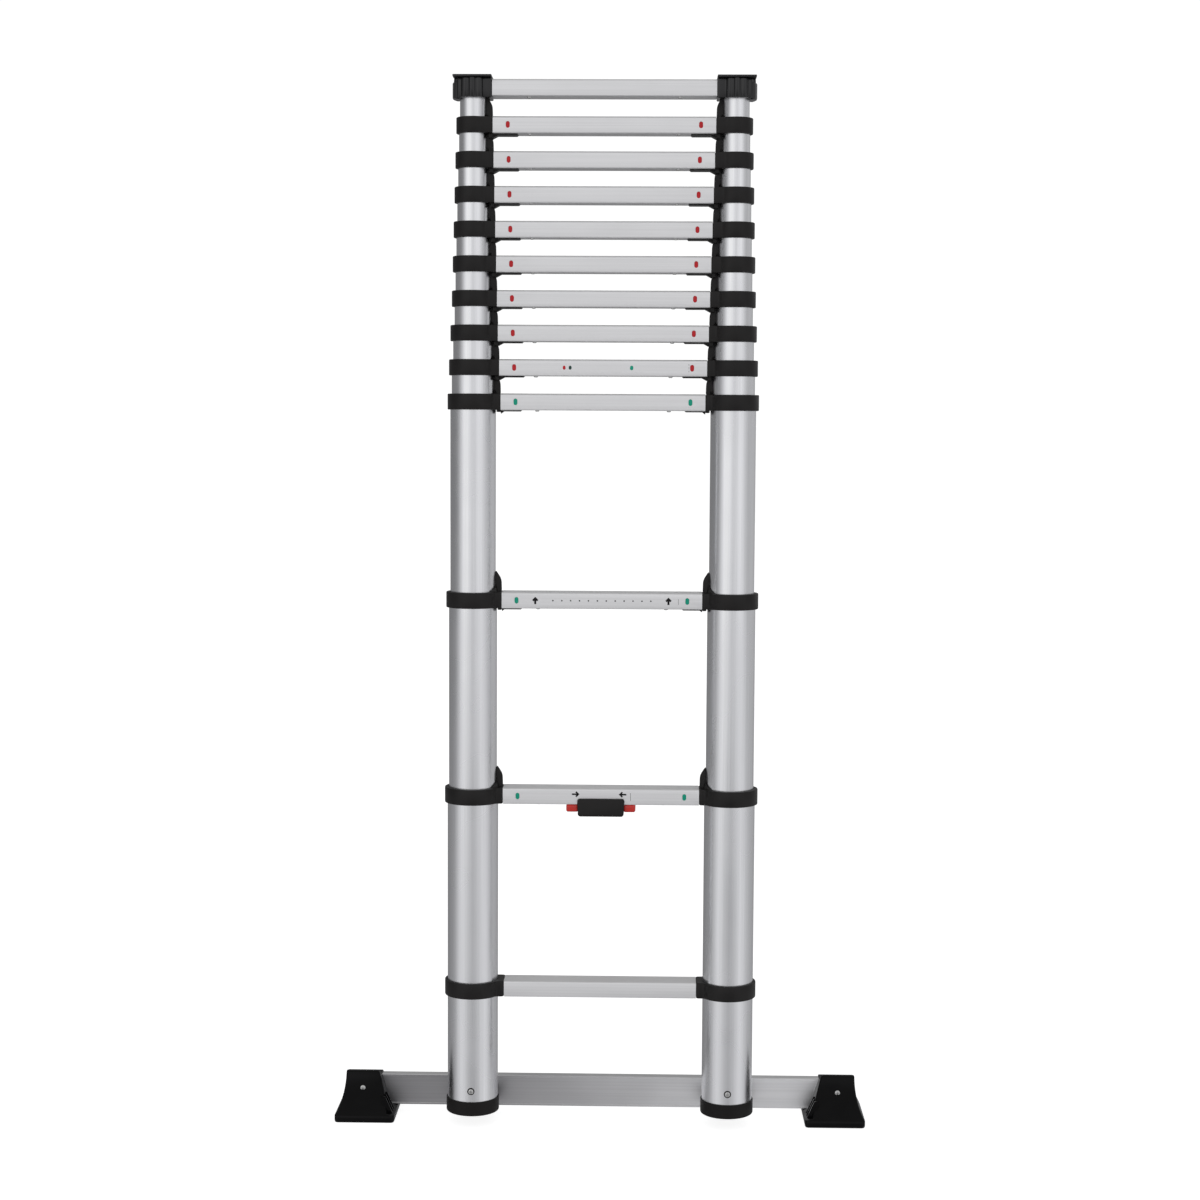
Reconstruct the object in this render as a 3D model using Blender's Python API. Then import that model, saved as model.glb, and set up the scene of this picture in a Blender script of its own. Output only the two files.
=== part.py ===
"""Telescoping ladder: nested round tubes, a rung with two collars on the top of each pair, and a bar foot.

Units are metres and +Z is up. X runs along the rungs, -Y is the climber's side. The ladder stands on the
two shoes of its bar at Z = 0, with X = Y = 0 at the middle of its footprint box. Sections 3 and 4 are drawn
out to their full pitch, and sections 5 to 13 are closed on section 4.
"""

import math

import bmesh
import bpy
from mathutils import Matrix

# Driving dimensions
RAIL_SPACING = 0.394          # between the axes of the left and right tubes
RUNG_PITCH = 0.300            # from rung to rung with a section drawn out
CLOSED_PITCH = 0.0515         # from rung to rung with a section closed
TOP_CLOSED_PITCH = 0.0548     # the same for the top section, whose caps are longer than a collar
FIRST_RUNG = 0.1955           # first rung's middle above the bottom of the end plugs
PLUG_LIFT = 0.0195            # end plugs above the floor, because the ladder stands on its shoes
RUNG_COUNT = 13
BASE_RUNG = 2                 # the rung on the top of the base tubes
OPEN_SECTIONS = (3, 4)        # the sections drawn out at rest
COLLARED_RUNGS = range(5, 13)  # rungs that are one piece with their collars

# General
SIDES = 16                    # sides of each round shape
ROD_SIDES = 8
FIT_GAP = 0.0003              # between pieces that touch
OVERLAP = 0.0020              # shapes that become one body run this far into each other
OVERSHOOT = 0.0100            # cutters run this far past the surface that they open
CORE = 0.8                    # share of a tube's radius where a shape that its bore trims may start

# Tubes, numbered by the rung on their top
BASE_TUBE_RADIUS = 0.0388
LARGE_STEP = 0.00215          # from one tube's radius to the next, up to tube 7
SMALL_STEP = 0.00135          # the same from tube 8 on
LAST_LARGE_TUBE = 7
TUBE_GAP = 0.00035            # radial gap between nested tubes
TOP_TUBE_WALL = 0.0010
TUBE_ABOVE_RUNG = 0.010       # a tube ends inside its collar, this far above the rung's middle
TUBE_BELOW_RUNG = 0.387       # length of a moving tube below its rung's middle
LOCK_HOLE_RADIUS = 0.0060

# Rungs
RUNG_HEIGHT = 0.025
RUNG_DEPTH = 0.040
RUNG_WALL = 0.0018

# Collars
COLLAR_HEIGHT = 0.024
COLLAR_PROUD = 0.0043         # ring outside its own tube
BLOCK_REACH = 0.0102          # rung socket beyond the tube that passes through
BLOCK_DEPTH = 0.043
TENON_LENGTH = 0.022          # part of the collar that fills the rung's end
FIN_TOP = 0.043               # fin's tip above the rung's middle
FIN_DEPTH = 0.010
FIN_FACE = (                  # distance from the tube above, and height above the rung's middle
    (0.0095, 0.0120),
    (0.0090, 0.0266),
    (0.0079, 0.0335),
    (0.0011, FIN_TOP),
)
FIN_CLEARANCE = 0.0008        # round the fin in the pocket of the collar above

# Lock bolts and the release
BOLT_RADIUS = 0.0050
BOLT_BORE = 0.0054
BOLT_TAIL = 0.030             # part of a rung's bolt behind its flange
FLANGE_RADIUS = 0.0085
FLANGE_WIDTH = 0.003
FLANGE_INSET = 0.016          # flange from the end of the tenon
RELEASE_TRAVEL = 0.008
ROD_START = 0.034             # inner end of the second rung's lock rods
ARM_WIDTH = 0.008             # arm on the rod's inner end, which the button pushes
ARM_DEPTH = 0.012
ARM_BOTTOM = -0.020           # from the second rung's middle, like the next four heights
HOUSING_TOP = -0.0030
HOUSING_BOTTOM = -0.0305
BUTTON_TOP = -0.0126
BUTTON_BOTTOM = -0.0247
HOUSING_WIDTH = 0.072
HOUSING_WALL = 0.0027
BUTTON_IN = 0.0425            # button's ends from the middle of the rung
BUTTON_OUT = 0.0530
BUTTON_DEPTH = 0.036
BUTTON_CHAMFER = 0.0025
BUTTON_CHAMFER_LENGTH = 0.003
SLOT_DEPTH = 0.014            # slots in the second rung's floor for the arms

# Top caps and end plugs
CAP_RADIUS = 0.0292
CAP_BOTTOM = -0.0150          # from the top rung's middle, like the next three heights
CAP_LOBE_TOP = 0.0085
CAP_LID = 0.0145
CAP_TOP = 0.0200
CAP_LID_HALF = 0.0290         # half of the square lid's side
CAP_BLOCK_EDGE = 0.0020       # rung socket above and below the rung
CAP_BLOCK_START = 0.0100
CAP_LOBE_DROP = 0.0015
CAP_LOBE_RADIUS = 0.0310
CAP_LOBE_TURN = math.radians(36)
TUBE_END_DROP = 0.009         # top tube's end below the lid's face
PLUG_RADIUS = 0.0407
PLUG_HEIGHT = 0.022
PLUG_FLOOR = 0.004
PLUG_EDGE = 0.0015
PLUG_SPIGOT = 0.034
SPIGOT_WALL = 0.003

# Stabiliser bar and shoes, Y measured back from the tube axes
BAR_FRONT = PLUG_RADIUS + FIT_GAP
BAR_DEPTH = 0.016
BAR_BOTTOM = 0.0125
BAR_HEIGHT = 0.048
BAR_WALL = 0.0018
BAR_HALF = 0.390
SOCKET_START = 0.300          # X where the cutter of a shoe's socket starts, clear of the shoe
SHOE_BACK = 0.112
SHOE_PLATE_BACK = 0.032       # only the plate in front of here has the shoe's full height
SHOE_SHELF = 0.0627           # the shoe's height behind that plate
SHOE_SECTIONS = (             # height, inner X, outer X, front Y, back Y
    (0.000, 0.3180, 0.4110, -0.018, SHOE_BACK),
    (0.012, 0.3180, 0.4110, -0.018, SHOE_BACK),
    (0.014, 0.3200, 0.4090, -0.014, 0.108),
    (0.028, 0.3265, 0.4030, 0.000, 0.094),
    (0.046, 0.3375, 0.3988, 0.013, 0.081),
    (0.070, 0.3460, 0.3975, 0.025, 0.069),
)

RAIL_X = RAIL_SPACING / 2
RAIL_Y = -(SHOE_BACK - BASE_TUBE_RADIUS - COLLAR_PROUD) / 2


def closed_pitch(number):
    """Distance down to the rung below when a section is closed."""
    return TOP_CLOSED_PITCH if number == RUNG_COUNT else CLOSED_PITCH


def rung_height(number):
    """Height of a rung's middle above the floor."""
    height = PLUG_LIFT + FIRST_RUNG + RUNG_PITCH * (min(number, BASE_RUNG) - 1)
    for section in range(BASE_RUNG + 1, number + 1):
        height += RUNG_PITCH if section in OPEN_SECTIONS else closed_pitch(section)
    return height


def tube_radius(number):
    """Outer radius of the tube that carries this rung. Rung 1 is clamped to the base tube."""
    large = min(max(number, BASE_RUNG), LAST_LARGE_TUBE) - BASE_RUNG
    small = max(number - LAST_LARGE_TUBE, 0)
    return BASE_TUBE_RADIUS - large * LARGE_STEP - small * SMALL_STEP


def passing_radius(number):
    """Radius of the tube that comes out of this rung's collars."""
    return tube_radius(number) if number == 1 else tube_radius(number + 1)


def block_face(number):
    """Where a rung starts, from the tube's axis."""
    if number == RUNG_COUNT:
        return CAP_RADIUS
    return passing_radius(number) + BLOCK_REACH


# Mesh helpers

def circle(radius, sides=SIDES):
    """Corners of a round shape, with a flat side towards +X."""
    angles = [2 * math.pi / sides * (i + 0.5) for i in range(sides)]
    return [(radius * math.cos(angle), radius * math.sin(angle)) for angle in angles]


def finish_mesh(shape):
    """Turns the faces outwards and gives the mesh of a bmesh."""
    bmesh.ops.recalc_face_normals(shape, faces=shape.faces)
    mesh = bpy.data.meshes.new("shape")
    shape.to_mesh(mesh)
    shape.free()
    return mesh


def stack(levels):
    """A closed solid through level outlines, each a list of (x, y, z) with as many corners as the others."""
    shape = bmesh.new()
    rings = [[shape.verts.new(point) for point in level] for level in levels]
    count = len(rings[0])
    for low, high in zip(rings, rings[1:]):
        for i in range(count):
            j = (i + 1) % count
            shape.faces.new((low[i], low[j], high[j], high[i]))
    shape.faces.new(rings[0])
    shape.faces.new(rings[-1])
    return finish_mesh(shape)


def prism(outline, low, high):
    """An (x, y) outline drawn up from low to high."""
    return stack([[(x, y, z) for x, y in outline] for z in (low, high)])


def side_prism(outline, depth):
    """An (x, z) outline drawn along Y to both sides of Y = 0."""
    return stack([[(x, y, z) for x, z in outline] for y in (-depth / 2, depth / 2)])


def box(low, high):
    """A box between two corners."""
    outline = [(low[0], low[1]), (high[0], low[1]), (high[0], high[1]), (low[0], high[1])]
    return prism(outline, low[2], high[2])


def turned(profile):
    """A solid of revolution about Z, from (radius, z) pairs that run up its outside."""
    return stack([[(x, y, z) for x, y in circle(radius)] for radius, z in profile])


def rod_along_x(start, end, radius):
    """A round rod along X."""
    mesh = prism(circle(radius, ROD_SIDES), start, end)
    mesh.transform(Matrix(((0, 0, 1, 0), (0, 1, 0, 0), (-1, 0, 0, 0), (0, 0, 0, 1))))
    return mesh


def combine(mesh, other, operation):
    """The Boolean of two closed meshes, as a new mesh."""
    body = bpy.data.objects.new("combine_body", mesh)
    tool = bpy.data.objects.new("combine_tool", other)
    for thing in (body, tool):
        bpy.context.scene.collection.objects.link(thing)
    modifier = body.modifiers.new("combine", "BOOLEAN")
    modifier.operation = operation
    modifier.object = tool
    modifier.solver = "EXACT"
    evaluated = body.evaluated_get(bpy.context.evaluated_depsgraph_get())
    result = bpy.data.meshes.new_from_object(evaluated)
    for thing in (body, tool):
        bpy.data.objects.remove(thing)
    return result


def union(mesh, *others):
    """All the meshes as one body."""
    for other in others:
        mesh = combine(mesh, other, "UNION")
    return mesh


def cut(mesh, *tools):
    """The first mesh without the others."""
    for tool in tools:
        mesh = combine(mesh, tool, "DIFFERENCE")
    return mesh


# Materials and placing

def material(name, color, roughness, metallic):
    """A Principled material with one colour."""
    made = bpy.data.materials.new(name)
    made.use_nodes = True
    shader = made.node_tree.nodes["Principled BSDF"]
    shader.inputs["Base Color"].default_value = (*color, 1)
    shader.inputs["Roughness"].default_value = roughness
    shader.inputs["Metallic"].default_value = metallic
    return made


def place(name, mesh, surface, x=0.0, z=0.0, turned_round=False):
    """Makes a named object of a mesh at a place along the rung and a height, in the plane of the tube axes.
    Turned half round about Z, a right piece becomes a left one."""
    placed = mesh.copy()
    placed.name = name
    placed.materials.clear()
    placed.materials.append(surface)
    placed.shade_smooth()
    placed.set_sharp_from_angle(angle=math.radians(30))
    piece = bpy.data.objects.new(name, placed)
    piece.location = (x, RAIL_Y, z)
    if turned_round:
        piece.rotation_euler = (0, 0, math.pi)
    bpy.context.scene.collection.objects.link(piece)


def flipped(mesh):
    """The mirror image of a mesh across X = 0."""
    shape = bmesh.new()
    shape.from_mesh(mesh)
    bmesh.ops.scale(shape, vec=(-1, 1, 1), verts=shape.verts)
    bmesh.ops.reverse_faces(shape, faces=shape.faces)
    return finish_mesh(shape)


def place_pair(pattern, mesh, surface, z):
    """A left piece, whose +X side faces the rung, and its mirror image on the right."""
    place(pattern.format("left"), mesh, surface, -RAIL_X, z)
    place(pattern.format("right"), flipped(mesh), surface, RAIL_X, z)


# Tubes

def tube(number, low, high, hole_heights):
    """A left tube between two heights from its rung's middle, with lock holes on its rung side."""
    outer = tube_radius(number)
    inner = outer - TOP_TUBE_WALL
    if number < RUNG_COUNT:
        inner = tube_radius(number + 1) + TUBE_GAP
    shape = bmesh.new()
    rings = []
    for radius, z in ((outer, low), (outer, high), (inner, high), (inner, low)):
        rings.append([shape.verts.new((x, y, z)) for x, y in circle(radius)])
    for first, second in zip(rings, rings[1:] + rings[:1]):
        for i in range(SIDES):
            j = (i + 1) % SIDES
            shape.faces.new((first[i], first[j], second[j], second[i]))
    mesh = finish_mesh(shape)
    for height in hole_heights:
        hole = rod_along_x(inner * CORE, outer + OVERSHOOT, LOCK_HOLE_RADIUS)
        hole.transform(Matrix.Translation((0, 0, height)))
        mesh = cut(mesh, hole)
    return mesh


def make_tubes(aluminium):
    """The base tubes, and two tubes for each moving section."""
    top = rung_height(BASE_RUNG)
    low = PLUG_LIFT + PLUG_FLOOR + FIT_GAP - top
    place_pair("base_tube_{}", tube(BASE_RUNG, low, TUBE_ABOVE_RUNG, [0]), aluminium, top)
    for number in range(BASE_RUNG + 1, RUNG_COUNT + 1):
        holes = [-RUNG_PITCH] if number == RUNG_COUNT else [0, -RUNG_PITCH]
        end = CAP_TOP - TUBE_END_DROP if number == RUNG_COUNT else TUBE_ABOVE_RUNG
        mesh = tube(number, -TUBE_BELOW_RUNG, end, holes)
        place_pair(f"tube_{{}}_{number:02d}", mesh, aluminium, rung_height(number))


# Collars

def collar_outline(number):
    """Plan of a left collar: a ring whose side towards the rung runs out into a block."""
    ring = tube_radius(number) + COLLAR_PROUD
    half = BLOCK_DEPTH / 2
    corner = math.asin(half / ring)
    points = [(block_face(number), -half), (block_face(number), half)]
    for i in range(SIDES + 1):
        angle = corner + (2 * math.pi - 2 * corner) * i / SIDES
        points.append((ring * math.cos(angle), ring * math.sin(angle)))
    return points


def fin(number):
    """The fin on a collar: a narrow tongue beside the tube above, which leans in to its tip."""
    tube_side = passing_radius(number)
    core = tube_side * CORE
    outline = [(core, 0), (tube_side + FIN_FACE[0][0], 0)]
    outline += [(tube_side + reach, height) for reach, height in FIN_FACE]
    outline.append((core, FIN_TOP))
    return side_prism(outline, FIN_DEPTH)


def pocket(number):
    """The space under a collar that the fin below comes up into when the section is closed."""
    below = number - 1
    start = passing_radius(below) * CORE
    end = block_face(below) + FIN_CLEARANCE
    half = FIN_DEPTH / 2 + FIN_CLEARANCE
    top = FIN_TOP - CLOSED_PITCH + FIN_CLEARANCE
    return box((start, -half, -COLLAR_HEIGHT), (end, half, top))


def tenon(start, length):
    """The part of a collar or a cap that fills the rung's end."""
    y = RUNG_DEPTH / 2 - RUNG_WALL - FIT_GAP
    z = RUNG_HEIGHT / 2 - RUNG_WALL - FIT_GAP
    return box((start - OVERLAP, -y, -z), (start + length, y, z))


def collar(number, with_tenon):
    """A left collar about its tube's axis, with the rung's middle at Z = 0."""
    half = COLLAR_HEIGHT / 2
    mesh = prism(collar_outline(number), -half, half)
    if number > 1:
        mesh = union(mesh, fin(number))
    if with_tenon:
        mesh = union(mesh, tenon(block_face(number), TENON_LENGTH))
    own = tube_radius(number) + FIT_GAP
    passing = passing_radius(number) + FIT_GAP
    step = TUBE_ABOVE_RUNG + FIT_GAP
    low = -COLLAR_HEIGHT
    top = FIN_TOP + OVERSHOOT
    if number == 1:
        mesh = cut(mesh, turned([(own, low), (own, top)]))
    else:
        bolt_end = block_face(number) + TENON_LENGTH + OVERSHOOT
        mesh = cut(mesh, turned([(own, low), (own, step), (passing, step), (passing, top)]))
        mesh = cut(mesh, rod_along_x(own * CORE, bolt_end, BOLT_BORE))
    if number > BASE_RUNG:
        mesh = cut(mesh, pocket(number))
    return mesh


# Rungs

def rung_shell(half_length):
    """A hollow rung, open at both ends, centred on the origin."""
    y = RUNG_DEPTH / 2
    z = RUNG_HEIGHT / 2
    outside = box((-half_length, -y, -z), (half_length, y, z))
    y -= RUNG_WALL
    z -= RUNG_WALL
    return cut(outside, box((-half_length - OVERSHOOT, -y, -z), (half_length + OVERSHOOT, y, z)))


def rung_half_length(number):
    """Half of the rung's visible length."""
    return RAIL_X - block_face(number)


def both_sides(mesh):
    """A left shape about its tube's axis, moved to the left tube, and its mirror image on the right."""
    mirrored = flipped(mesh)
    mesh.transform(Matrix.Translation((-RAIL_X, 0, 0)))
    mirrored.transform(Matrix.Translation((RAIL_X, 0, 0)))
    return mesh, mirrored


def release_slots():
    """Slots in the second rung's floor, which the lock rods' arms move along."""
    floor = -RUNG_HEIGHT / 2
    start = ROD_START - RELEASE_TRAVEL - OVERLAP
    end = ROD_START + ARM_WIDTH + OVERLAP
    slots = []
    for low_x, high_x in ((start, end), (-end, -start)):
        slots.append(box((low_x, -SLOT_DEPTH / 2, floor - OVERLAP),
                         (high_x, SLOT_DEPTH / 2, floor + RUNG_WALL + OVERLAP)))
    return slots


def make_rungs(aluminium, plastic):
    """The rungs: the lowest and the top one alone, the closed ones each in one piece with its collars."""
    for number in range(1, RUNG_COUNT + 1):
        height = rung_height(number)
        if number in COLLARED_RUNGS:
            mesh = rung_shell(rung_half_length(number) + OVERLAP)
            mesh = union(mesh, *both_sides(collar(number, False)))
            mesh = cut(mesh, *both_sides(pocket(number)))
            place(f"rung_{number:02d}", mesh, aluminium, z=height)
            continue
        mesh = rung_shell(rung_half_length(number) - FIT_GAP)
        if number == BASE_RUNG:
            mesh = cut(mesh, *release_slots())
        place(f"rung_{number:02d}", mesh, aluminium, z=height)
        if number < RUNG_COUNT:
            place_pair(f"collar_{{}}_{number:02d}", collar(number, True), plastic, height)


# Release and lock bolts

def release_housing():
    """The housing that hugs the underside of the second rung, open above, with a window at each end."""
    half = HOUSING_WIDTH / 2
    past = half + OVERSHOOT
    clear = RUNG_DEPTH / 2 + FIT_GAP
    floor = BUTTON_BOTTOM - FIT_GAP
    room = BUTTON_DEPTH / 2 + FIT_GAP
    rung_floor = -RUNG_HEIGHT / 2
    mesh = box((-half, -clear - HOUSING_WALL, HOUSING_BOTTOM), (half, clear + HOUSING_WALL, HOUSING_TOP))
    for_rung = box((-past, -clear, rung_floor - FIT_GAP), (past, clear, OVERSHOOT))
    for_buttons = box((-past, -room, floor), (past, room, rung_floor))
    return cut(mesh, for_rung, for_buttons)


def release_button():
    """The right button, a block with its outer edges taken off, in the housing's end window."""
    z = (BUTTON_TOP + BUTTON_BOTTOM) / 2
    half_y = BUTTON_DEPTH / 2 - FIT_GAP
    half_z = (BUTTON_TOP - BUTTON_BOTTOM) / 2 - FIT_GAP
    levels = []
    for x, trim in ((BUTTON_IN, 0), (BUTTON_OUT - BUTTON_CHAMFER_LENGTH, 0), (BUTTON_OUT, BUTTON_CHAMFER)):
        y = half_y - trim
        low = z - half_z + trim
        high = z + half_z - trim
        levels.append([(x, -y, low), (x, y, low), (x, y, high), (x, -y, high)])
    return stack(levels)


def release_bolt():
    """The second rung's right lock rod, with the arm that the button pushes."""
    end = RAIL_X - tube_radius(BASE_RUNG + 1) - FIT_GAP
    rod = rod_along_x(ROD_START, end, BOLT_RADIUS)
    arm = box((ROD_START, -ARM_DEPTH / 2, ARM_BOTTOM), (ROD_START + ARM_WIDTH, ARM_DEPTH / 2, 0.001))
    return union(rod, arm)


def rung_bolt(number):
    """A right lock bolt with the flange that its spring sits on."""
    end = RAIL_X - tube_radius(number + 1) - FIT_GAP
    flange = rung_half_length(number) - TENON_LENGTH - FLANGE_INSET
    rod = rod_along_x(flange - BOLT_TAIL, end, BOLT_RADIUS)
    return union(rod, rod_along_x(flange, flange + FLANGE_WIDTH, FLANGE_RADIUS))


def make_release(plastic, red, steel):
    """Housing, buttons and the modelled lock bolts."""
    height = rung_height(BASE_RUNG)
    above = BASE_RUNG + 1
    place("release_housing", release_housing(), plastic, z=height)
    for side, turned_round in (("right", False), ("left", True)):
        place(f"release_button_{side}", release_button(), red, 0, height, turned_round)
        place(f"lock_bolt_{side}_{BASE_RUNG:02d}", release_bolt(), steel, 0, height, turned_round)
        place(f"lock_bolt_{side}_{above:02d}", rung_bolt(above), steel, 0, rung_height(above), turned_round)


# Ends

def cap_lobe():
    """The bulge on the outer side of a left top cap."""
    inside = tube_radius(RUNG_COUNT)
    turns = [math.pi + CAP_LOBE_TURN * (i / 2 - 1) for i in range(5)]
    outline = [(CAP_LOBE_RADIUS * math.cos(turn), CAP_LOBE_RADIUS * math.sin(turn)) for turn in turns]
    outline += [(inside * math.cos(turn), inside * math.sin(turn)) for turn in reversed(turns)]
    return prism(outline, CAP_BOTTOM - CAP_LOBE_DROP, CAP_LOBE_TOP)


def top_cap():
    """A left top cap: a barrel with a square lid, a socket and tenon for the rung, and a lobe outside."""
    barrel = turned([(CAP_RADIUS, CAP_BOTTOM), (CAP_RADIUS, CAP_LID + OVERLAP)])
    lid = box((-CAP_LID_HALF, -CAP_LID_HALF, CAP_LID), (CAP_LID_HALF, CAP_LID_HALF, CAP_TOP))
    block_z = RUNG_HEIGHT / 2 + CAP_BLOCK_EDGE
    block = box((CAP_BLOCK_START, -BLOCK_DEPTH / 2, -block_z), (CAP_RADIUS, BLOCK_DEPTH / 2, block_z))
    mesh = union(barrel, lid, block, tenon(CAP_RADIUS, TENON_LENGTH), cap_lobe())
    bore = tube_radius(RUNG_COUNT) + FIT_GAP
    mesh = cut(mesh, turned([(bore, -COLLAR_HEIGHT), (bore, CAP_TOP - TUBE_END_DROP + FIT_GAP)]))
    return cut(mesh, pocket(RUNG_COUNT))


def end_plug():
    """The plug on a base tube's lower end: a cup outside the tube and a spigot inside it."""
    tube_outside = BASE_TUBE_RADIUS + FIT_GAP
    spigot = tube_radius(BASE_RUNG + 1) + TUBE_GAP - 2 * FIT_GAP
    hollow = spigot - SPIGOT_WALL
    mesh = turned([(PLUG_RADIUS - PLUG_EDGE, 0), (PLUG_RADIUS, PLUG_EDGE), (PLUG_RADIUS, PLUG_HEIGHT),
                   (tube_outside, PLUG_HEIGHT), (tube_outside, PLUG_FLOOR), (spigot, PLUG_FLOOR),
                   (spigot, PLUG_SPIGOT)])
    return cut(mesh, turned([(hollow, PLUG_FLOOR), (hollow, PLUG_SPIGOT + OVERSHOOT)]))


def shoe():
    """The right shoe: a flared block with a socket for the bar's end, higher in front of the bar."""
    levels = []
    for z, inner, outer, front, back in SHOE_SECTIONS:
        levels.append([(inner, front, z), (outer, front, z), (outer, back, z), (inner, back, z)])
    socket = box((SOCKET_START, BAR_FRONT - FIT_GAP, BAR_BOTTOM - FIT_GAP),
                 (BAR_HALF + FIT_GAP, BAR_FRONT + BAR_DEPTH + FIT_GAP, BAR_BOTTOM + BAR_HEIGHT + FIT_GAP))
    above_shelf = box((SOCKET_START, SHOE_PLATE_BACK, SHOE_SHELF),
                      (SHOE_SECTIONS[0][2] + OVERSHOOT, SHOE_BACK, SHOE_SECTIONS[-1][0] + OVERSHOOT))
    return cut(stack(levels), socket, above_shelf)


def bar():
    """The hollow stabiliser bar behind the tubes."""
    back = BAR_FRONT + BAR_DEPTH
    top = BAR_BOTTOM + BAR_HEIGHT
    past = BAR_HALF + OVERSHOOT
    wall = BAR_WALL
    outside = box((-BAR_HALF, BAR_FRONT, BAR_BOTTOM), (BAR_HALF, back, top))
    inside = box((-past, BAR_FRONT + wall, BAR_BOTTOM + wall), (past, back - wall, top - wall))
    return cut(outside, inside)


def make_ends(aluminium, plastic, rubber):
    """Top caps, end plugs, the stabiliser bar and its shoes."""
    place_pair("top_cap_{}", top_cap(), plastic, rung_height(RUNG_COUNT))
    place_pair("end_plug_{}", end_plug(), rubber, PLUG_LIFT)
    place("stabiliser_bar", bar(), aluminium)
    place("stabiliser_shoe_right", shoe(), rubber)
    place("stabiliser_shoe_left", flipped(shoe()), rubber)


def main():
    """Builds every part of the ladder in an empty scene."""
    for thing in list(bpy.data.objects):
        bpy.data.objects.remove(thing)
    aluminium = material("anodised_aluminium", (0.60, 0.61, 0.62), 0.38, 1.0)
    rung_metal = material("rung_aluminium", (0.66, 0.67, 0.68), 0.42, 1.0)
    bar_metal = material("brushed_bar", (0.45, 0.45, 0.46), 0.45, 1.0)
    plastic = material("black_plastic", (0.016, 0.015, 0.015), 0.45, 0.0)
    rubber = material("black_rubber", (0.010, 0.010, 0.010), 0.35, 0.0)
    red = material("red_plastic", (0.50, 0.02, 0.02), 0.30, 0.0)
    steel = material("bolt_steel", (0.50, 0.50, 0.51), 0.30, 1.0)
    make_tubes(aluminium)
    make_rungs(rung_metal, plastic)
    make_release(plastic, red, steel)
    make_ends(bar_metal, plastic, rubber)


main()
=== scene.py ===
"""Looks of the telescoping ladder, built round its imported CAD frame. Units are metres and +Z is up.

Every place is worked out from the frame: the tubes' axes and radii, and the height of each rung's middle.
A left shape is made about its tube's axis, with +X towards the rungs, and mirrored for the right side.
"""

import math

import bmesh
import bpy
from mathutils import Matrix, Vector


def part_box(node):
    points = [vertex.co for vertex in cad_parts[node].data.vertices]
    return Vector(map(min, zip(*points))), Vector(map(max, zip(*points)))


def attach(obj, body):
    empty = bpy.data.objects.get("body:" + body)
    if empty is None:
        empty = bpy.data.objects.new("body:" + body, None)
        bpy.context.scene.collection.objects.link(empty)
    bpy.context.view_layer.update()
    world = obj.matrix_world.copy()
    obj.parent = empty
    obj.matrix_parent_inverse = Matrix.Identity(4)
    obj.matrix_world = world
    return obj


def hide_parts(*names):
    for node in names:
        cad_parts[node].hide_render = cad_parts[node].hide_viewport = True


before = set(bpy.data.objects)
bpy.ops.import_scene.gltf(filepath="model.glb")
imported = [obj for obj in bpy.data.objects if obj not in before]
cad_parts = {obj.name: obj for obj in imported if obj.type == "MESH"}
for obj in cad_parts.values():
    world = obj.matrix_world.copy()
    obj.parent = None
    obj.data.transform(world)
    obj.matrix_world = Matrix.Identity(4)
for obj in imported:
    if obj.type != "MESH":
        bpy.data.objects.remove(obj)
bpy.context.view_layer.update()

# What the frame gives

CAD_SIDES = 16  # sides of the CAD model's round shapes, with a flat side towards X
TOP_RUNG = 13
RUNGS = range(1, TOP_RUNG + 1)
BASE_RUNG = 2  # the rung on the top of the base tubes
BOLTED_RUNGS = (2, 3)  # rungs whose collars have lock bolts
SIDES = ("left", "right")


def middle(node):
    """The middle of a CAD node's box."""
    low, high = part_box(node)
    return (low + high) / 2


def span(node):
    """The size of a CAD node's box."""
    low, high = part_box(node)
    return high - low


def tube_node(side, number):
    """The CAD tube that carries a rung. Rung 1 is clamped to the base tubes."""
    return f"base_tube_{side}" if number <= BASE_RUNG else f"tube_{side}_{number:02d}"


def body_of(number):
    """The body that a rung and its collars belong to."""
    return "base" if number <= BASE_RUNG else f"section_{number:02d}"


RAIL_X = middle("base_tube_right").x
RAIL_Y = middle("base_tube_right").y
RUNG_DEPTH = span("rung_02").y
RUNG_HEIGHT = span("rung_02").z
FLAT = math.cos(math.pi / CAD_SIDES)
RADIUS = {n: span(tube_node("left", n)).x / 2 / FLAT for n in RUNGS}
RUNG_Z = {n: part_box(f"rung_{n:02d}")[0].z + RUNG_HEIGHT / 2 for n in RUNGS}
# The tube that passes through a rung's collar: the one above, or the base tube for rung 1
PASSING = {n: RADIUS[min(n + 1, TOP_RUNG)] if n >= BASE_RUNG else RADIUS[n] for n in RUNGS}
FIT_GAP = 0.0003  # between pieces that touch
BLOCK_REACH = RAIL_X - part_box("rung_03")[1].x - FIT_GAP - PASSING[3]
CAP_LOW, CAP_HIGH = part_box("top_cap_left")
CAP_RADIUS = RAIL_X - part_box("rung_13")[1].x - FIT_GAP
PLUG_LOW, PLUG_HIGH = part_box("end_plug_left")
PLUG_RADIUS = (PLUG_HIGH.x - PLUG_LOW.x) / 2 / FLAT
BAR_LOW, BAR_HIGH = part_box("stabiliser_bar")
SHOE_LOW, SHOE_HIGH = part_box("stabiliser_shoe_right")
SHOE_MIDDLE = middle("stabiliser_shoe_right").y
SHOE_HALF = span("stabiliser_shoe_right").y / 2


def block_face(number):
    """Where a rung starts, measured from the tube's axis."""
    return CAP_RADIUS if number == TOP_RUNG else PASSING[number] + BLOCK_REACH


# Mesh helpers

def polar(radius, angle, z):
    """A point at an angle round the tube's axis."""
    return (radius * math.cos(angle), radius * math.sin(angle), z)


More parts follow.
